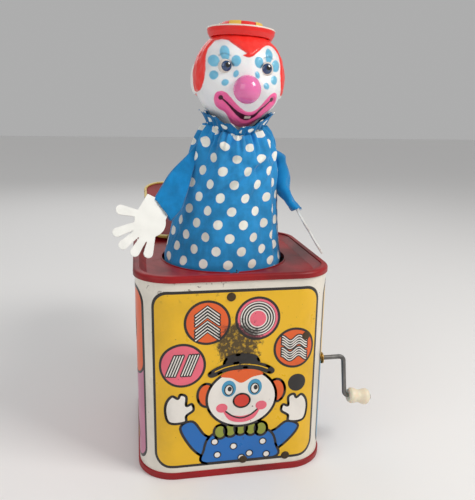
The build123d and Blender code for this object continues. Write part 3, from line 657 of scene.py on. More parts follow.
def badge(picture, x, z, radius, colour_name, motif):
    """A round badge with striped line-work that says nothing."""
    picture.shape(circle(x, z, radius), "black", 3)
    picture.shape(circle(x, z, radius - 1.8), colour_name, 4)
    motif(picture, x, z, radius - 1.8)


STRIPES = 4
STRIPE_PITCH = 1.9
STRIPE_WHITE = 0.85


def striped(picture, path_at, level=5):
    """Side-by-side lines: a black backing with white lines on it; path_at(offset) is each line's path."""
    for i in range(STRIPES):
        offset = (i - (STRIPES - 1) / 2) * STRIPE_PITCH
        picture.line(path_at(offset), STRIPE_PITCH + 0.75, "black", level)
    for i in range(STRIPES):
        offset = (i - (STRIPES - 1) / 2) * STRIPE_PITCH
        picture.line(path_at(offset), STRIPE_WHITE, "white", level + 1)


def motif_chevron(picture, x, z, r):
    """Two nested peaks."""
    for lift in (-0.38 * r, 0.36 * r):
        striped(picture, lambda o: [(x - 0.56 * r, z + lift - 0.24 * r + o * 1.25),
                                    (x, z + lift + 0.2 * r + o * 1.25),
                                    (x + 0.56 * r, z + lift - 0.24 * r + o * 1.2)])


def motif_ring(picture, x, z, r):
    """Rings round a plain centre."""
    for i in range(STRIPES):
        radius = 0.86 * r - i * STRIPE_PITCH
        picture.shape(circle(x, z, radius + 0.42), "black", 5 + 3 * i)
        picture.shape(circle(x, z, radius), "white", 6 + 3 * i)
        picture.shape(circle(x, z, radius - STRIPE_WHITE), "black" if i < STRIPES - 1 else "pink", 7 + 3 * i)


def motif_waves(picture, x, z, r):
    """Two bands of waves."""
    for lift in (-0.33 * r, 0.33 * r):
        striped(picture, lambda o: [(x + t * 0.66 * r, z + lift + o + 0.14 * r * math.sin(t * 4.5))
                                    for t in np.linspace(-1, 1, 25)])


def motif_slants(picture, x, z, r):
    """Two bands that lean over."""
    for shift in (-0.36 * r, 0.36 * r):
        striped(picture, lambda o: [(x + shift + o - 0.2 * r, z - 0.5 * r),
                                    (x + shift + o + 0.2 * r, z + 0.5 * r)])


def clown(picture):
    """A plain clown of simple shapes that waves both hands."""
    mitt = [(-6, -9), (-9, -1), (-8, 7), (-4, 12), (0, 10), (2, 13), (6, 11), (6, 4), (10, 5), (11, 0),
            (6, -4), (5, -9)]
    for side in (-1, 1):
        arm = [(8 * side, 12), (20 * side, 13), (34 * side, 22), (44 * side, 38 - 3 * side),
               (35 * side, 43 - 3 * side), (26 * side, 34), (16 * side, 31), (8 * side, 30)]
        picture.outlined(smooth_outline([(x + 3, z) for x, z in arm]), "blue", 3)
        hand = [(1 + side * (43.5 - x), 52 - 3 * side + y) for x, y in mitt]
        picture.outlined(smooth_outline(hand), "white", 5)
    body = [(-22, 10.6), (-24, 22), (-18, 34), (3, 38), (24, 34), (30, 22), (28, 10.6)]
    picture.outlined(smooth_outline(body, 6)[: 6 * 6 + 1], "blue", 5)
    for x, z in ((-14, 17), (-2, 23), (10, 16), (20, 25), (23, 14), (-16, 28), (4, 13)):
        picture.outlined(circle(x, z, 2.5, steps=24), "white", 7, 0.8)
    for i in range(5):
        picture.outlined(circle(-12 + i * 7.6, 37.5 - abs(i - 2) * 0.8, 4.6, 5.6, 32), "olive", 7)
    for side in (-1, 1):
        picture.outlined(circle(3.5 + side * 25.5, 66, 6.5, 9, 36), "orange", 7)
    picture.outlined(circle(3.5, 62, 25.5, 22.5, 72), "white", 9)
    fringe = [(-12, 80), (-4, 78), (3, 74), (11, 78), (19, 80), (12, 84), (-5, 84)]
    picture.shape(smooth_outline(fringe), "orange", 11)
    for side in (-1, 1):
        picture.shape(circle(3.5 + side * 14.5, 55, 4.2, 3.6, 30), "pink", 11)
        picture.shape(circle(3.5 + side * 9.5, 70, 5.2, 6.4, 36), "sky", 11)
        picture.outlined(circle(3.5 + side * 9.5, 69, 3.0, 4.0, 30), "white", 12, 0.8)
        picture.shape(circle(3.5 + side * 9.5 + 0.6, 69.8, 1.5, 1.9, 20), "black", 14)
    smile = [(-11, 55), (-6, 50), (3.5, 47.5), (13, 50), (18, 55), (13, 45.5), (3.5, 42.5), (-6, 45.5)]
    picture.shape(smooth_outline(smile), "pink", 12)
    mouth = smooth_outline([(-8, 52), (-3, 48), (3.5, 46), (10, 48), (15, 52)], closed=False)
    picture.line(mouth, 1.2, "black", 13)
    picture.outlined(circle(3.5, 60, 6.0, 5.4, 40), "red", 14, 1.3)
    brim = [(-20, 83), (-12, 87.5), (3, 90), (18, 87.5), (26, 83), (24, 80.5), (14, 84.5), (3, 86),
            (-8, 84.5), (-18, 80.5)]
    picture.outlined(smooth_outline(brim), "black", 13)
    picture.outlined(smooth_outline([(-9, 88), (-7, 94), (3, 96), (13, 94), (15, 88), (3, 90)]), "black", 12)
    hatband = smooth_outline([(-16, 84), (-8, 87), (3, 88.5), (14, 87), (22, 84)], closed=False)
    picture.line(hatband, 0.7, "yellow", 16)


def front_picture():
    picture = Picture("front_art", 0.0)
    panel(picture, "yellow")
    badge(picture, -39.0, 90.0, 16.6, "pink", motif_slants)
    badge(picture, -21.5, 121.0, 16.4, "orange", motif_chevron)
    badge(picture, 14.0, 122.4, 16.2, "pink", motif_ring)
    badge(picture, 41.5, 98.5, 15.6, "orange", motif_waves)
    picture.shape(circle(44.5, 71.0, 6.8), "black", 3)
    clown(picture)
    picture.finish()


def side_picture(name, centre, ground, sky_colour, spot_colour):
    """The other faces: a two-colour panel with big balls and a striped ring."""
    picture = Picture(name, centre)
    panel(picture, ground)
    top = rounded_rectangle(-PANEL_HALF + 1.5, PANEL_HALF - 1.5, 78, PANEL_HIGH - 1.5, 10.6)
    picture.outlined(top, sky_colour, 3)
    for x, z, r in ((-36, 30, 12), (0, 44, 15), (36, 28, 12), (-30, 112, 13), (34, 112, 13)):
        picture.outlined(circle(x, z, r), spot_colour, 5, 1.4)
        picture.outlined(circle(x, z, r * 0.5, steps=32), "white", 7, 1.2)
    badge(picture, 2, 112, 17, "orange" if sky_colour != "orange" else "pink", motif_ring)
    picture.finish()


front_picture()
side_picture("left_art", -QUARTER, "mauve", "orange", "yellow")
side_picture("right_art", QUARTER, "sky", "yellow", "red")
side_picture("back_art", 2 * QUARTER, "orange", "green", "yellow")

# ---------------------------------------------------------------- materials on the CAD pieces

for node_names, material in (
    (("body_shell", "body_seam"), ink["cream"]),
    (("bottom_pan", "top_pan"), RED_TIN),
    (("lid_pan", "lid_leaf_left", "lid_leaf_right"), RED_LID),
    (("lid_hem",), YELLOW_HEM),
    (("rivet_1", "rivet_2", "rivet_3", "rivet_4"), RIVET),
    (("mechanism_frame", "cheek_left", "cheek_right", "comb_base",
      "hem_ring", "spring_clamp", "hinge_pin_left", "hinge_pin_right", "hinge_lugs_left", "hinge_lugs_right",
      "drum_axle", "latch_pin", "latch_bracket", "crank_collar", "knob_cap", "spring_seat"), STEEL),
    (("lid_catch", "latch_lever", "latch_spring", "music_comb"), DARK_STEEL),
    (("crank_rod", "pop_spring"), WIRE_STEEL),
    (("crank_bushing", "music_drum", "drum_gear", "release_cam"), BRASS),
    (("crank_knob",), IVORY),
    (("crank_pinion", "neck_cap", "neck_plug"), NYLON),
    (("eye_left", "eye_right"), TOOTH),
    (("nose",), NOSE_PINK),
    (("teeth",), TOOTH),
    (("head_front", "head_back"), EAR_WHITE),
    (("hat_brim", "hat_crown"), HAT_RED),
    (("costume",), DOTTED),
    (("collar",), SHADED_COLLAR_CLOTH),
    (("left_sleeve", "right_sleeve"), BLUE_CLOTH),
    (("left_hand", "right_hand"), HAND_VINYL),
):
    for node in node_names:
        for obj in ([nodes[node]] if not isinstance(nodes[node], (list, tuple)) else nodes[node]):
            for slot in obj.material_slots:
                slot.material = material
            if not obj.material_slots:
                obj.data.materials.append(material)

# ---------------------------------------------------------------- the head

def face_radius(direction):
    """How far the moulded face stands from the head's centre, in a direction of the upright head, in mm."""
    x, y, z = direction
    radius = HEAD_RADIUS
    front = max(0.0, -y)

    def swell(dx, dz, wide, tall, height):
        nonlocal radius
        if front > 0.0:
            px, pz = x * HEAD_RADIUS, z * HEAD_RADIUS
            shape = math.exp(-((px - dx) / wide) ** 2 - ((pz - dz) / tall) ** 2)
            radius += height * shape * min(1.0, front * 2.5)

    for side in (-1, 1):
        swell(side * 15, -9, 9, 8, 1.9)               # cheeks
        swell(side * 14.5, 14.5, 8, 4.5, 1.0)         # brows
        swell(side * 14.3, 2.6, 6.8, 7.2, -2.2)       # eye hollows
        swell(side * 30, 4, 5, 9, -0.8)               # temples
    swell(0, -20, 15, 7, 1.6)                         # muzzle
    swell(0, -30, 15, 7, 2.2)                         # chin
    low = min(1.0, max(0.0, (-z - 0.84) / 0.16))
    radius += 4.2 * low * low * (3 - 2 * low) * min(1.0, max(0.0, 0.7 - y))
    swell(0, -9, 7, 7, 0.8)                           # root of the nose
    return radius


HAIRLINE = [(-34, -12), (-30, -11), (-28.4, -5), (-28, 2), (-27.5, 10), (-26, 16), (-23.5, 20), (-20.5, 23),
            (-17, 24), (-13, 23.4), (-9.7, 20.7), (-6, 17.8), (-1.6, 15.0), (-1.0, 14.2), (-3.4, 12.9),
            (0, 11.9), (2.6, 12.3), (4.7, 13.6), (8, 16.4), (11.5, 19.5), (15, 21.6), (19, 22),
            (22.5, 20.4), (25, 16.5), (26.8, 10),
            (27.4, 2), (28.2, -5), (29.6, -11), (34, -12)]
LIPS = [(-20.6, -16.4), (-19.8, -12.4), (-17, -10.7), (-13.4, -11.4), (-10, -14.4), (-5.4, -18.5),
        (0, -22), (4, -22.8), (8, -21.9), (11.6, -19), (14.8, -14.4), (18.5, -10.6),
        (22.6, -9.8), (25.2, -12.4), (24.8, -17.4), (21, -22),
        (17, -24.6), (13.4, -27.8), (8.6, -30.2), (1, -31.2), (-6.4, -29.8), (-10.4, -26), (-13, -23.9),
        (-16.5, -22.6), (-19.4, -20)]
SLIT = [(-16.2, -14.9), (-13, -17.2), (-10, -19.7), (-6.2, -22.7), (-3, -24.6), (1, -26.2), (5, -26.5),
        (8.8, -25), (12, -22), (15.6, -18.6), (19.6, -14.5)]
# each eye spot's middle, half-width, half-height and turn
SPOTS = [(-15.2, 14.2, 3.1, 5.2, 0.05), (-22.6, 9.0, 3.7, 4.0, 0.3), (-8.0, 9.2, 3.3, 3.7, -0.4),
         (-22.4, -0.6, 2.8, 3.1, 0.5), (-8.0, 0.6, 1.9, 2.6, -0.4), (-14.5, -5.3, 2.3, 2.1, 0.0),
         (15.7, 14.4, 3.0, 5.0, -0.05), (8.3, 9.2, 3.3, 3.8, 0.4), (22.0, 8.2, 3.7, 4.1, -0.3),
         (7.4, 0.7, 1.9, 2.6, 0.4), (20.8, -1.6, 2.7, 3.2, -0.4), (14.0, -6.0, 2.2, 2.1, 0.0)]


def distance_to_outline(px, pz, outline, closed=True):
    """Signed distance from points to an outline, less than 0 inside it, for arrays of points."""
    points = np.array(outline, float)
    ends = np.roll(points, -1, axis=0) if closed else points[1:]
    starts = points if closed else points[:-1]
    nearest = np.full(px.shape, 1e9)
    inside = np.zeros(px.shape, bool)
    for (ax, az), (bx, bz) in zip(starts, ends):
        ex, ez = bx - ax, bz - az
        t = np.clip(((px - ax) * ex + (pz - az) * ez) / max(ex * ex + ez * ez, 1e-9), 0, 1)
        nearest = np.minimum(nearest, np.hypot(px - ax - t * ex, pz - az - t * ez))
        if closed:
            cross = ((az > pz) != (bz > pz)) & (px < (bx - ax) * (pz - az) / ((bz - az) or 1e-9) + ax)
            inside ^= cross
    return np.where(inside, -nearest, nearest) if closed else nearest


def head_material():
    """Moulded white face with sprayed-on hair, eye spots and lips, and painted shade in the eye creases and above the
    irises; the sprayed edges come from the mesh.
    """
    material, tree, shader = new_material("painted_face")
    point = object_point(tree)

    def field(name):
        return add(tree, "ShaderNodeAttribute", attribute_name=name).outputs["Fac"]

    rag = times(tree, math_node(tree, "SUBTRACT", noise_of(tree, point, 420, 3), 0.5), 0.5)

    def painted(name, soft):
        return ramp(tree, plus(tree, field(name), rag), soft, -soft)

    mottled = noise_of(tree, point, 60, 4)
    skin = mix(tree, ramp(tree, mottled, 0.35, 0.8), colour((244, 243, 243)), colour((226, 228, 230)))
    hair = mix(tree, noise_of(tree, point, 150, 4), colour((236, 34, 30)), colour((255, 66, 56)))
    spot_blue = mix(tree, mottled, colour((96, 178, 214)), colour((136, 204, 230)))
    tone = mix(tree, painted("spots", 0.45), skin, spot_blue)
    # painted shade: a darker blue arc stands for the shade in the crease over each eye
    tone = mix(tree, times(tree, painted("crease_shade", 0.9), 0.7), tone, colour((40, 92, 124)))
    # painted shadow: a dark arc over each iris stands for the shade under the upper lid
    tone = mix(tree, times(tree, painted("lid_shadow", 0.9), 0.9), tone, colour((44, 54, 74)))
    tone = mix(tree, painted("hair", 0.35), tone, hair)
    tone = mix(tree, painted("lips", 0.3), tone, colour((248, 104, 164)))
    tone = mix(tree, painted("slit", 0.25), tone, colour((64, 10, 34)))
    tone = mix(tree, painted("tooth", 0.3), tone, colour((224, 206, 200)))
    tree.links.new(tone, shader.inputs["Base Color"])
    set_inputs(shader, {"Roughness": 0.3, "Specular IOR Level": 0.35, "Coat Weight": 0.15,
                        "Coat Roughness": 0.08, "Subsurface Weight": 0.06, "Subsurface Scale": 1.5 * MM})
    combed = add(tree, "ShaderNodeMapping", {"Vector": point, "Scale": (420, 420, 150)}).outputs[0]
    strands = noise_of(tree, combed, 1.0, 3)
    height = times(tree, times(tree, strands, painted("hair", 0.35)), 1.4)
    bump(tree, shader, plus(tree, height, times(tree, mottled, 0.4)), 0.5, 0.4 * MM)
    return material


HIDDEN = 9.0                             # a distance that paints nothing, for the back of the head


def painted_fields(directions):
    """Signed distances in mm to each sprayed or moulded shape on the face, and to the painted shade at the eyes, less
    than 0 inside it.
    """
    px, front, pz = directions[:, 0] * HEAD_RADIUS, directions[:, 1], directions[:, 2] * HEAD_RADIUS
    hairline = smooth_outline(HAIRLINE, 5, False) + [(60, -12), (60, 60), (-60, 60), (-60, -12)]
    nape = -pz - 12.0 - 12.0 * np.clip(front, 0, 1)
    hair = np.where(front < 0, distance_to_outline(px, pz, hairline), nape)
    lips = np.where(front < 0, distance_to_outline(px, pz, smooth_outline(LIPS, 5)), HIDDEN)
    slit = distance_to_outline(px, pz, smooth_outline(SLIT, 5, False), closed=False)
    taper = 0.55 + 1.0 * np.exp(-((px - 1.5) / 7.5) ** 2)
    slit = slit - taper
    for hx, hz in ((-16.2, -14.9), (19.6, -14.5)):
        slit = np.minimum(slit, np.hypot(px - hx, pz - hz) - 1.55)
    slit = np.where(front < 0, slit, HIDDEN)
    tooth = np.where(front < 0, np.maximum(np.abs(px - 3.6) - 2.2, np.abs(pz + 26.4) - 0.75), HIDDEN)
    spots = np.full(px.shape, HIDDEN)
    for x, z, wide, tall, turn in SPOTS:
        dx, dz = px - x, pz - z
        u = dx * math.cos(turn) + dz * math.sin(turn)
        v = -dx * math.sin(turn) + dz * math.cos(turn)
        spots = np.minimum(spots, (np.hypot(u / wide, v / tall) - 1) * min(wide, tall))
    spots = np.where(front < 0, spots, HIDDEN)
    crease_shade = np.full(px.shape, HIDDEN)
    lid_shadow = np.full(px.shape, HIDDEN)
    for side in (-1, 1):
        # the arch over each eye is painted crease shade, and the arc over each iris is painted lid shadow
        arch = [(side * 15.4 + 3.6 * t, 13.3 - 0.9 * t * t) for t in np.linspace(-1, 1, 9)]
        crease_shade = np.minimum(crease_shade, distance_to_outline(px, pz, arch, closed=False) - 0.3)
        lid = [(side * 14.5 + 4.9 * math.cos(a), 3.9 + 5.3 * math.sin(a)) for a in np.linspace(0.5, 2.64, 11)]
        lid_shadow = np.minimum(lid_shadow, distance_to_outline(px, pz, lid, closed=False) - 0.7)
    crease_shade = np.where(front < 0, crease_shade, HIDDEN)
    lid_shadow = np.where(front < 0, lid_shadow, HIDDEN)
    return {"hair": hair, "lips": lips, "slit": slit, "spots": spots, "crease_shade": crease_shade, "lid_shadow": lid_shadow,
            "tooth": tooth}


def head():
    rows, columns = (150, 260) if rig.quick() else (230, 400)
    vertices = []
    for i in range(rows):
        polar = math.pi * (0.06 + 0.88 * i / (rows - 1))
        for j in range(columns):
            turn = math.tau * j / columns
            direction = (math.sin(polar) * math.sin(turn), -math.sin(polar) * math.cos(turn), math.cos(polar))
            vertices.append(direction)
    fields = painted_fields(np.array(vertices))
    hair, lips, slit, spots = (fields[name] for name in ("hair", "lips", "slit", "spots"))
    ridge = np.clip(-hair, 0, 1.2) * 0.75
    groove = np.clip(1.3 - np.clip(slit, 0, 1.3), 0, 1.3) * 0.9
    pout = np.clip(-lips, 0, 2.2) * 0.55
    pads = np.clip(-spots, 0, 1.6) * 0.35
    placed = []
    for k, direction in enumerate(vertices):
        radius = face_radius(direction) + ridge[k] + pout[k] - groove[k] + pads[k]
        if hair[k] < 0:
            across, high = direction[0] * HEAD_RADIUS, direction[2] * HEAD_RADIUS
            radius += 0.35 * noise.noise(Vector((across * 0.30, high * 0.22, direction[1] * 9)))
        x, y, z = direction
        placed.append(leaned(x * radius * MM, y * radius * MM, HEAD_Z + z * radius * MM))
    faces = [tuple(reversed(f)) for f in grid_faces(rows, columns)]
    piece = mesh_piece("head_painted", placed, faces, head_material())
    close_up(piece)
    for name, values in fields.items():
        layer = piece.data.attributes.new(name, "FLOAT", "POINT")
        for k, value in enumerate(values):
            layer.data[k].value = float(value)
    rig.replaces(piece, "head_front", "head_back")
    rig.slot(piece, "face_white")
    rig.ride(piece, "head")


def lathe(name, profile, place, tilt, material, segments=72):
    """A turned piece from (radius, height) points in millimetres, along the direction tilt."""
    turn = tilt.normalized().to_track_quat("Z", "Y").to_matrix()
    vertices = []
    for r, h in profile:
        for j in range(segments):
            a = math.tau * j / segments
            vertices.append(place + turn @ Vector((r * math.cos(a), r * math.sin(a), h)) * MM)
    faces = grid_faces(len(profile), segments)
    piece = mesh_piece(name, vertices, faces, material)
    close_up(piece)
    return piece


def head_slot(piece, slot):
    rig.slot(piece, slot)
    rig.ride(piece, "head")


def ears():
    for side in (-1, 1):
        vertices = []
        rows, columns = 15, 24
        for i in range(rows):
            t = math.pi * i / (rows - 1)
            for j in range(columns):
                a = math.tau * j / columns
                high = 11.2 * math.cos(t)
                reach = 5.6 * math.sin(t) * math.cos(a)
                thick = 2.4 * math.sin(t) * math.sin(a)
                hollow = -1.2 * math.exp(-((reach - 1.0) / 2.4) ** 2 - (high / 6.5) ** 2)
                x = side * (32.4 + reach * 0.62)
                y = 1.0 + reach * 0.5 + (thick + hollow if math.sin(a) < 0 else thick)
                vertices.append(leaned(x * MM, y * MM, HEAD_Z + (-2.0 + high) * MM))
        name = f"ear_{'left' if side < 0 else 'right'}"
        piece = mesh_piece(name, vertices, grid_faces(rows, columns), EAR_WHITE)
        close_up(piece, weld=1e-6)
        head_slot(piece, "face_white")


def eyes():
    """Painted glass-like irises with black pupils set into the hollows."""
    for side, name in ((-1, "left"), (1, "right")):
        low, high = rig.box(f"eye_{name}")
        middle = (low + high) / 2
        radius = (high.y - low.y) / 2 / MM
        forward = Vector((0.0, -1.0, 0.0)) if side < 0 else Vector((0.05, -1.0, 0.0))
        tilt = forward.normalized()

        def cap(label, spread, lift, direction, material, slot):
            steps = 8
            angles = [spread * k / steps for k in range(steps, -1, -1)]
            reach = radius + lift
            profile = [(max(reach * math.sin(a), 0.01), reach * math.cos(a)) for a in angles]
            head_slot(lathe(f"{label}_{name}", profile, middle, direction, material, 40), slot)

        cap("iris", 0.70, 0.06, tilt, IRIS, "eye_blue")
        cap("pupil", 0.34, 0.12, (tilt + Vector((0.16, 0, 0.14))).normalized(), PUPIL, "eye_blue")


def hat():
    """White edge on the brim, yellow stripes up the crown."""
    brim_radius = 25.0
    profile = []
    for k in range(9):
        a = math.pi * k / 8 - math.pi / 2
        profile.append((brim_radius - 0.35 + 0.5 * math.cos(a), HAT_Z + 0.6 * math.sin(a)))
    turn = leaned(0, 0, 1)
    edge = profile + [(brim_radius - 1.1, 321.05), (brim_radius - 1.1, 319.6)]
    head_slot(lathe("hat_edge", edge, Vector((0, 0, 0)), turn, HAT_WHITE, 96), "hat_red")
    stripes = 5
    vertices, faces = [], []
    for s in range(stripes):
        start = math.radians(-133) + math.tau * s / stripes
        span = math.radians(32)
        base = len(vertices)
        for h, r in ((317.5, 16.32), (324.2, 16.32), (325.04, 15.6)):
            for k in range(4):
                a = start + span * k / 3
                vertices.append(leaned(r * math.cos(a) * MM, r * math.sin(a) * MM, h * MM))
        for i in range(2):
            for k in range(3):
                q = base + i * 4 + k
                faces.append((q, q + 1, q + 5, q + 4))
    head_slot(mesh_piece("hat_stripes", vertices, faces, HAT_YELLOW), "hat_red")


head()
ears()
eyes()
hat()

# ---------------------------------------------------------------- costume, collar and sleeves

# the costume's height, how far its middle is towards the crank, and its radius, in mm
SECTIONS = [(3.8, 0.0, 38.0), (128.0, 0.0, 38.0), (140.0, -0.3, 43.5), (148.0, -0.5, 46.6),
            (152.2, -0.4, 46.8), (175.0, 1.6, 42.4), (200.0, 4.0, 38.5), (218.0, 6.2, 35.8), (228.0, 7.6, 33.8),
            (236.0, 8.4, 31.6), (242.0, 8.8, 29.0), (247.0, 9.0, 26.0), (250.0, 9.1, 23.0)]


def section_at(z):
    heights = [s[0] for s in SECTIONS]
    return tuple(float(np.interp(z, heights, [s[column] for s in SECTIONS])) for column in (1, 2))


# The photograph shows no cloth laid flat.
COSTUME_CUT = 0.262
COLLAR_CUT = 0.15
SLEEVE_CUT = 0.062


def set_grid_uv(piece, rows, columns, uv_at):
    """The cloth map in millimetres of a closed grid, given for each row and column."""
    layer = piece.data.uv_layers.new(name="cloth")
    for index, polygon in enumerate(piece.data.polygons):
        i, j = divmod(index, columns)
        spots = ((i, j), (i, j + 1), (i + 1, j + 1), (i + 1, j))
        for loop, spot in zip(polygon.loop_indices, spots):
            layer.data[loop].uv = uv_at(*spot)


# each slanting fold: height at the front, rise per radian, depth, width, and where round it starts and ends
SLANT_FOLDS = ((214.0, 24.0, 2.0, 4.0, -0.55, 0.95), (196.0, 30.0, 1.1, 5.0, -0.2, 1.1),
               (229.0, -16.0, 1.4, 3.2, -1.0, 0.25))


def fold(turn, z):
    """How far the costume's folds stand off its plain cone, in mm."""
    high = min(1.0, max(0.0, (z - 150) / 85))
    drift = 0.35 * math.sin(z / 23.0)
    soft = 0.9 * math.sin(3 * turn + 0.8 + drift) + 0.7 * math.sin(5 * turn - 0.7 + z / 60.0)
    gathers = math.sin(11 * turn + 1.3 * math.sin(z / 31.0)) + 0.6 * math.sin(17 * turn - 2.0 + z / 45.0)
    tight = max(0.0, (z - 226) / 24) ** 1.5
    gathers += tight * (1.5 * math.sin(31 * turn + 0.8 * math.sin(z / 9.0)) + 0.9 * math.sin(47 * turn + 1.0))
    pleat = 2.3 * math.exp(-((turn - 0.72 - 0.10 * high) / 0.10) ** 2) * (1 - high) \
        - 2.0 * math.exp(-((turn - 0.92 - 0.10 * high) / 0.09) ** 2) * (1 - high)
    slant = 0.0
    for start, rise, depth, wide, low, top in SLANT_FOLDS:
        off = z - (start + rise * turn)
        ends = math.exp(-(max(0.0, low - turn, turn - top) / 0.15) ** 2)
        crest = 0.8 * math.exp(-((off - wide) / wide) ** 2)
        slant += ends * depth * (crest - math.exp(-((off + 0.3 * wide) / wide) ** 2))
    crumple = 0.9 * noise.noise(Vector((turn * 5.0, z / 17.0, 3.3))) \
        + 0.5 * noise.noise(Vector((turn * 14, z / 7, 8.1)))
    settle = 1.0 if z > 160 else max(0.25, (z - 120) / 40)
    waves = (soft + pleat) * settle + gathers * (0.15 + 1.0 * high**1.6) + crumple + slant
    return waves * (0.35 if z < 128 else 0.55 if z < 154 else 1.0)


def neck_drop(turn, z):
    """The neck seam is held up at the sides and pushed down by the chin in front."""
    share = max(0.0, (z - 222.0) / 28.0) ** 1.3
    return share * (4.0 - 8.5 * math.exp(-(turn / 0.85) ** 2))


def costume():
    rows, columns = (90, 180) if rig.quick() else (150, 320)
    lowest, highest = 4.4, 250.0
    vertices, marks = [], []
    run = 0.0
    for i in range(rows):
        z = lowest + (highest - lowest) * i / (rows - 1)
        x, r = section_at(z)
        if i:
            run += (highest - lowest) / (rows - 1) * 1.01
        for j in range(columns):
            turn = math.tau * (j / columns - 0.5)
            out = min(r - 0.5 + fold(turn, z), r + (0.8 if 140 < z < 156 else 2.6))
            high = z + neck_drop(turn, z)
            vertices.append(Vector((x + out * math.sin(turn), -out * math.cos(turn), high)) * MM)
        marks.append((r, run))
    piece = mesh_piece("costume_cloth", vertices, grid_faces(rows, columns), DOTTED)

    def uv_at(i, j):
        return math.tau * (j / columns - 0.5) * marks[i][0] + 3.6, marks[i][1]

    set_grid_uv(piece, rows, columns, uv_at)
    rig.replaces(piece, "costume")
    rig.slot(piece, "costume_cloth")
    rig.ride(piece, "box")
    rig.squash(piece, "jack_pop", axis=(math.sin(LEAN), 0, math.cos(LEAN)), anchor=(0, 0, 3.8 * MM), keep=0.16)
    area = sum(p.area for p in piece.data.polygons)
    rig.sheet(piece, flat=(COSTUME_CUT, area / COSTUME_CUT), held="gathered", rests_on=["hem_ring", "neck_cap"])


def collar():
    """The frilled collar: a strip gathered round the neck, its edge frayed and standing out in waves."""
    columns, rows = 320, 14
    vertices, edge = [], []
    for i in range(rows):
        t = i / (rows - 1)
        for j in range(columns):
            a = math.tau * j / columns
            wave = math.sin(11 * a + 1.7 * math.sin(2 * a)) + 0.45 * math.sin(23 * a + 1.0)
            ragged = 0.9 * noise.noise(Vector((math.cos(a) * 7, math.sin(a) * 7, 1.7))) \
                + 0.8 * noise.noise(Vector((math.cos(a) * 31, math.sin(a) * 31, 4.0)))
            turn = a if a < math.pi else a - math.tau
            seam = 250.0 + neck_drop(turn, 250.0)
            chin = math.exp(-(turn / 0.8) ** 2)     # the chin presses the frill down in front
            pinch = 0.8 * math.sin(31 * a) * (1 - t)
            reach = 21.6 + (5.6 - 2.6 * chin + ragged * 1.5) * t + 1.0 * wave * t * t + pinch
            high = seam - 1.5 + (10.0 - 3.0 * chin) * t**0.85 + wave * 0.9 * t + ragged * 0.9 * t
            spot = Vector((9.1 + 0.06 * (high - 250) + reach * math.sin(a), -reach * math.cos(a), high)) * MM
            vertices.append(spot)
            if i == rows - 1 and j % 3 == 0:
                heading = leaned(math.sin(a), -math.cos(a), 0.2 + 0.7 * math.sin(a * 37))
                edge.append((spot, heading.normalized()))
    # the collar's darker cotton is painted shade
    piece = mesh_piece("collar_frill", vertices, grid_faces(rows, columns), SHADED_COLLAR_CLOTH)
    set_grid_uv(piece, rows, columns, lambda i, j: (j * 0.6, i * 1.3))
    thick = piece.modifiers.new("thick", "SOLIDIFY")
    thick.thickness = 0.35 * MM
    apply_modifiers(piece)
    piece.data.shade_smooth()
    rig.replaces(piece, "collar")
    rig.slot(piece, "sleeve_cloth")
    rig.ride(piece, "head")
    area = sum(p.area for p in piece.data.polygons) / 2
    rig.sheet(piece, flat=(COLLAR_CUT, area / COLLAR_CUT), held="gathered", rests_on=["neck_cap"])
    threads("collar_threads", edge, 1.2, BLUE_CLOTH, "sleeve_cloth", "head")


def threads(name, roots, length, material, slot, body, joint=None):
    """Short frayed threads standing out of an edge, as thin three-sided tubes."""
    vertices, faces = [], []
    for n, (root, heading) in enumerate(roots):
        side = heading.cross(Vector((0.3, 0.2, 1.0))).normalized()
        up = heading.cross(side)
        reach = length * (0.55 + 0.45 * math.sin(n * 12.9898))
        base = len(vertices)
        for k in range(4):
            t = k / 3
            middle = root + (heading * reach * t + side * 0.5 * math.sin(n * 3.1 + t * 3.0) * t
                             - Vector((0, 0, 0.35)) * t * t) * MM
            width = 0.13 * (1 - 0.7 * t) * MM
            for corner in range(3):
                a = math.tau * corner / 3
                vertices.append(middle + (side * math.cos(a) + up * math.sin(a)) * width)
        for k in range(3):
            for corner in range(3):
                nxt = (corner + 1) % 3
                ring = base + k * 3
                faces.append((ring + corner, ring + nxt, ring + 3 + nxt, ring + 3 + corner))
        faces.append((base, base + 2, base + 1))
        faces.append((base + 9, base + 10, base + 11))
    piece = mesh_piece(name, vertices, faces, material)
    piece.data.uv_layers.new(name="cloth")
    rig.slot(piece, slot)
    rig.ride(piece, body)
    if joint:
        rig.squash(piece, *joint[0], **joint[1])


class Arm:
    """The plane of an arm: down the arm, across it and out of it, in millimetres."""

    def __init__(self, shoulder, wrist, facing):
        self.origin = Vector(shoulder)
        self.along = (Vector(wrist) - self.origin).normalized()
        facing = Vector(facing)
        self.normal = (facing - self.along * facing.dot(self.along)).normalized()
        self.across = self.normal.cross(self.along)

    def at(self, s, t, out=0.0):
        return (self.origin + self.along * s + self.across * t + self.normal * out) * MM


LEFT = Arm((-27, -8, 238), (-49.7, -35, 193.5), (0, -1, 0))
RIGHT = Arm((41, -4, 232), (57, -21, 190), (-0.95, 0.32, 0.0))


def arm_squash(arm):
    return ("jack_pop",), dict(axis=tuple(arm.along), anchor=tuple(arm.origin * MM), keep=0.15)


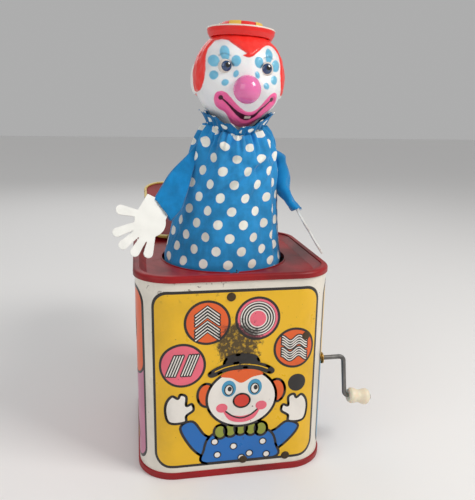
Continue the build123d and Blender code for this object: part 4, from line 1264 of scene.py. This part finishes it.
def sleeve(name, arm, low, high, puff, wrinkle, shape=((0, 0, 0), (1, 0, 0))):
    """A flat cotton tube: its lower and upper edges run down the arm, and its two layers part a little."""
    rows, half = 40, 20
    low = smooth_outline(low, 8, False)
    high = smooth_outline(high, 8, False)
    columns = 2 * half
    vertices, marks = [], []

    def along_edge(edge, t):
        k = t * (len(edge) - 1)
        i = min(int(k), len(edge) - 2)
        return np.array(edge[i]) * (1 - k + i) + np.array(edge[i + 1]) * (k - i)

    for i in range(rows):
        t = i / (rows - 1)
        a, b = along_edge(low, t), along_edge(high, t)
        for j in range(columns):
            side = 1 if j < half else -1
            v = j / half if j < half else 2 - j / half
            s, q = a * (1 - v) + b * v
            shift = float(np.interp(t, [k[0] for k in shape], [k[1] for k in shape]))
            thick = puff * (0.8 + 0.4 * t) + float(np.interp(t, [k[0] for k in shape], [k[2] for k in shape]))
            thick *= math.sqrt(max(0.0, math.sin(math.pi * v)))
            crease = wrinkle * noise.noise(Vector((s / 9.0, q / 4.5, 2.0 + 0.3 * side))) \
                + 0.35 * wrinkle * math.sin(s / 4.2 + q / 3.0) * math.sin(math.pi * v)
            out = shift + side * thick + crease
            vertices.append(arm.at(s, q, out))
        marks.append((np.linalg.norm(b - a), t * 52))
    piece = mesh_piece(f"{name}_sleeve_cloth", vertices, grid_faces(rows, columns), BLUE_CLOTH)
    set_grid_uv(piece, rows, columns, lambda i, j: (j / half * marks[i][0], marks[i][1]))
    thick = piece.modifiers.new("thick", "SOLIDIFY")
    thick.thickness = 0.4 * MM
    thick.offset = -1
    apply_modifiers(piece)
    piece.data.shade_smooth()
    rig.replaces(piece, f"{name}_sleeve")
    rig.slot(piece, "sleeve_cloth")
    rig.ride(piece, f"{name}_arm")
    squash = arm_squash(arm)
    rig.squash(piece, *squash[0], **squash[1])
    area = sum(p.area for p in piece.data.polygons) / 2
    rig.sheet(piece, flat=(area / SLEEVE_CUT, SLEEVE_CUT), held="hung", rests_on=["costume_cloth"])
    edge = []
    for v in np.linspace(0.02, 0.98, 26):
        root = arm.at(*(np.array(low[-1]) * (1 - v) + np.array(high[-1]) * v), 0.8 * math.sin(v * 40))
        edge.append((root, (arm.along + arm.across * 0.5 * math.sin(v * 60)).normalized()))
    threads(f"{name}_cuff_threads", edge, 2.0, BLUE_CLOTH, "sleeve_cloth", f"{name}_arm", squash)


# from where a finger leaves the palm to its tip, and its radius
FINGERS = [(-2.0, -8.0, 1.2, -21.6, 3.6), (5.0, -6.5, 17.0, -17.6, 3.3), (8.0, -3.5, 23.4, -10.6, 3.3),
           (9.0, 0.8, 24.6, -1.4, 3.3), (8.0, 5.0, 21.6, 7.4, 3.3)]


def hand(name, arm, palm, slant, wrist_half):
    """A hand stamped from white sheet: round palm, five fingers, softly bent, with rounded edges."""
    spread = 34.0
    cells = 130 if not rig.quick() else 90
    px, py = palm
    grid = np.linspace(-spread, spread, cells)
    sx, sy = np.meshgrid(grid, grid, indexing="ij")
    away = np.hypot(sx, sy * 0.98) - 10.9
    for x0, y0, x1, y1, radius in FINGERS:
        ex, ey = x1 - x0, y1 - y0
        t = np.clip(((sx - x0) * ex + (sy - y0) * ey) / (ex * ex + ey * ey), 0, 1)
        finger = np.hypot(sx - x0 - t * ex, sy - y0 - t * ey) - radius * (0.66 + 0.34 * t)
        k = 0.8
        h = np.clip(0.5 + 0.5 * (finger - away) / k, 0, 1)
        away = finger * (1 - h) + away * h - k * h * (1 - h)
    wrist = np.maximum(np.abs(sy + 1.5 + 0.12 * sx) - wrist_half, np.maximum(sx, -sx - 18.0))
    away = np.minimum(away, wrist)
    shape = bmesh.new()
    index = {}
    for i in range(cells):
        for j in range(cells):
            index[i, j] = None

    def vertex(i, j):
        if index[i, j] is None:
            x, y, d = sx[i, j], sy[i, j], away[i, j]
            if d > 0:
                gx = (away[min(i + 1, cells - 1), j] - away[i - 1, j]) / 2
                gy = (away[i, min(j + 1, cells - 1)] - away[i, j - 1]) / 2
                size = math.hypot(gx, gy) or 1.0
                x -= gx / size * d
                y -= gy / size * d
            index[i, j] = shape.verts.new(Vector((x, y, 0)))
        return index[i, j]

    for i in range(1, cells - 2):
        for j in range(1, cells - 2):
            if min(away[i, j], away[i + 1, j], away[i, j + 1], away[i + 1, j + 1]) < 0 and \
                    sum(away[a, b] < 0.0 for a, b in ((i, j), (i + 1, j), (i + 1, j + 1), (i, j + 1))) >= 1:
                corners = (vertex(i, j), vertex(i + 1, j), vertex(i + 1, j + 1), vertex(i, j + 1))
                if len(set(corners)) == 4:
                    shape.faces.new(corners)
    mesh = bpy.data.meshes.new(f"{name}_hand_sheet")
    shape.to_mesh(mesh)
    shape.free()
    for v in mesh.vertices:
        x, y = v.co.x, v.co.y
        bend = slant[0] + slant[1] * (x + 8) + 0.5 * noise.noise(Vector((x / 9, y / 9, 5.0)))
        v.co = arm.at(px + x, py + y, bend)
    mesh.materials.append(HAND_VINYL)
    piece = bpy.data.objects.new(f"{name}_hand_sheet", mesh)
    bpy.context.scene.collection.objects.link(piece)
    relax = piece.modifiers.new("relax", "SMOOTH")
    relax.factor, relax.iterations = 0.5, 3
    thick = piece.modifiers.new("thick", "SOLIDIFY")
    thick.thickness, thick.offset = 1.2 * MM, 0
    round_edge = piece.modifiers.new("round", "BEVEL")
    round_edge.width, round_edge.segments, round_edge.limit_method = 0.3 * MM, 2, "ANGLE"
    apply_modifiers(piece)
    piece.data.shade_smooth()
    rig.replaces(piece, f"{name}_hand")
    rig.slot(piece, "hand_vinyl")
    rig.ride(piece, f"{name}_arm")
    squash = arm_squash(arm)
    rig.squash(piece, *squash[0], **squash[1])


def pop_spring():
    """The long coil spring inside the costume, which closes up as the jack goes down."""
    turns, wire, radius = 14, 1.1, 17.0
    low, high = 4.2, 232.2
    steps, sides = turns * 28, 8
    vertices = []
    for i in range(steps + 1):
        a = math.tau * turns * i / steps
        z = low + (high - low) * i / steps
        middle = leaned(radius * math.cos(a) * MM, radius * math.sin(a) * MM, z * MM)
        out = leaned(math.cos(a), math.sin(a), 0)
        up = leaned(0, 0, 1)
        for k in range(sides):
            b = math.tau * k / sides
            vertices.append(middle + (out * math.cos(b) + up * math.sin(b)) * wire * MM)
    piece = mesh_piece("pop_spring_wire", vertices, grid_faces(steps + 1, sides), WIRE_STEEL)
    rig.replaces(piece, "pop_spring")
    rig.slot(piece, "steel")
    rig.ride(piece, "box")
    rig.squash(piece, "jack_pop", axis=(math.sin(LEAN), 0, math.cos(LEAN)), anchor=(0, 0, 3.0 * MM), keep=0.13)


costume()
collar()
sleeve("left", LEFT, [(-3, 4.2), (8, 1.4), (26.3, -4.8), (38, -6.6), (51, -8.2)],
       [(-3, 6.0), (6, 8.0), (23, 10.0), (40, 12.0), (50, 12.2), (61, 8.6)], 1.3, 1.3)
sleeve("right", RIGHT, [(-7, -5), (8, -8), (26, -7), (45, -8)],
       [(-4, 6), (14, 8), (30, 7.4), (47, 8)], 0.8, 1.6,
       [(0, 5.0, 0.2), (0.12, 2.4, 2.6), (0.22, 0.6, 5.2), (0.36, 3.0, 5.4), (0.6, 6.2, 4.6), (0.8, 5.6, 2.4),
        (1, 3.6, 1.6)])
hand("left", LEFT, (68.0, -4.5), (0.0, 0.0), 10.2)
hand("right", RIGHT, (57.5, 0.0), (2.6, -0.13), 6.0)
pop_spring()

# ---------------------------------------------------------------- small things on the box and crank


def crank_hole_shade():
    """The small hole punched in the wall under the crank, as a dark disc of painted shade."""
    place = Vector((BOX_HALF + 0.02 * MM, -38 * MM, 66 * MM))
    disc = [(0.01, 0.06), (1.7, 0.06), (1.7, 0.0), (0.01, 0.0)]
    hole = lathe("wall_hole_shade", disc, place, Vector((1, 0, 0)), DARK_STEEL, 24)
    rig.slot(hole, "dark_steel")
    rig.ride(hole, "box")


crank_hole_shade()


def wire(name, points, radius, material, slot, body):
    """A bent wire through points in millimetres."""
    path = [Vector(p) for p in smooth_outline(points, 6, False)]
    vertices, sides = [], 10
    for i, p in enumerate(path):
        along = (path[min(i + 1, len(path) - 1)] - path[max(i - 1, 0)]).normalized()
        across = along.cross(Vector((0.31, 0.9, 0.3))).normalized()
        other = along.cross(across)
        r = radius * (0.6 if i in (0, len(path) - 1) else 1.0)
        for k in range(sides):
            a = math.tau * k / sides
            vertices.append((p + (across * math.cos(a) + other * math.sin(a)) * r) * MM)
    faces = grid_faces(len(path), sides)
    faces += [tuple(range(sides))[::-1], tuple(range(len(vertices) - sides, len(vertices)))]
    piece = mesh_piece(name, vertices, faces, material)
    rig.slot(piece, slot)
    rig.ride(piece, body)


wire("latch_hook_tip", [(1.9, -51.4, 152.9), (1.9, -51.6, 151.6), (1.5, -52.4, 150.9), (0.4, -53.2, 150.8),
                        (-0.8, -53.4, 151.4)], 0.45, PUPIL, "dark_steel", "latch")

# ---------------------------------------------------------------- floor, light and camera

floor_mesh = bpy.data.meshes.new("floor")
floor_mesh.from_pydata([(-6, -6, 0), (6, -6, 0), (6, 6, 0), (-6, 6, 0)], [], [(0, 1, 2, 3)])
floor = bpy.data.objects.new("floor", floor_mesh)
bpy.context.scene.collection.objects.link(floor)
floor_material, _, floor_shader = new_material("floor")
floor_shader.inputs["Base Color"].default_value = colour((242, 241, 240))
floor_shader.inputs["Roughness"].default_value = 0.6
floor_mesh.materials.append(floor_material)
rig.stage(floor)


def area_light(name, place, target, size, power, tint=(1, 1, 1)):
    light = bpy.data.lights.new(name, "AREA")
    light.shape, light.size, light.size_y = "RECTANGLE", size, size
    light.energy, light.color = power, tint
    lamp = bpy.data.objects.new(name, light)
    lamp.location = place
    lamp.rotation_euler = (Vector(target) - Vector(place)).to_track_quat("-Z", "Y").to_euler()
    bpy.context.scene.collection.objects.link(lamp)


bpy.context.scene.view_settings.view_transform = "Standard"

area_light("key", (0.75, -0.55, 0.95), (0, 0, 0.15), 0.45, 8.5, (1.0, 0.97, 0.93))
area_light("fill", (-0.95, -0.75, 0.7), (0, 0, 0.15), 0.9, 3.6, (0.94, 0.97, 1.0))
area_light("back", (-0.1, 1.1, 1.0), (0, 0, 0.15), 1.0, 3.0)

world = bpy.data.worlds.new("room")
world.use_nodes = True
world.node_tree.nodes["Background"].inputs[0].default_value = (1.0, 1.0, 1.0, 1.0)
world.node_tree.nodes["Background"].inputs[1].default_value = 0.42
bpy.context.scene.world = world

YAW, PITCH, ROLL = -0.183, 0.244, 0.016
LENS = 39.04                            # mm, on a 36 mm sensor
CAMERA_PLACE = (-0.065634, -0.417728, 0.260134)
forward = Vector((-math.sin(YAW) * math.cos(PITCH), math.cos(YAW) * math.cos(PITCH), -math.sin(PITCH)))
right = Vector((math.cos(YAW), math.sin(YAW), 0))
upward = right.cross(forward)
right_rolled = math.cos(ROLL) * right + math.sin(ROLL) * upward
up_rolled = -math.sin(ROLL) * right + math.cos(ROLL) * upward
turned = Matrix((right_rolled, up_rolled, -forward)).transposed().to_4x4()
camera_data = bpy.data.cameras.new("camera")
camera_data.sensor_width, camera_data.lens = 36.0, LENS
camera_data.clip_start = 0.01
camera = bpy.data.objects.new("camera", camera_data)
camera.matrix_world = Matrix.Translation(CAMERA_PLACE) @ turned
bpy.context.scene.collection.objects.link(camera)
bpy.context.scene.camera = camera

visual_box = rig.bounds()
with open("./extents.json", "w") as f:
    json.dump({"cad": [list(v) for v in cad_box], "visual": [list(v) for v in visual_box]}, f)
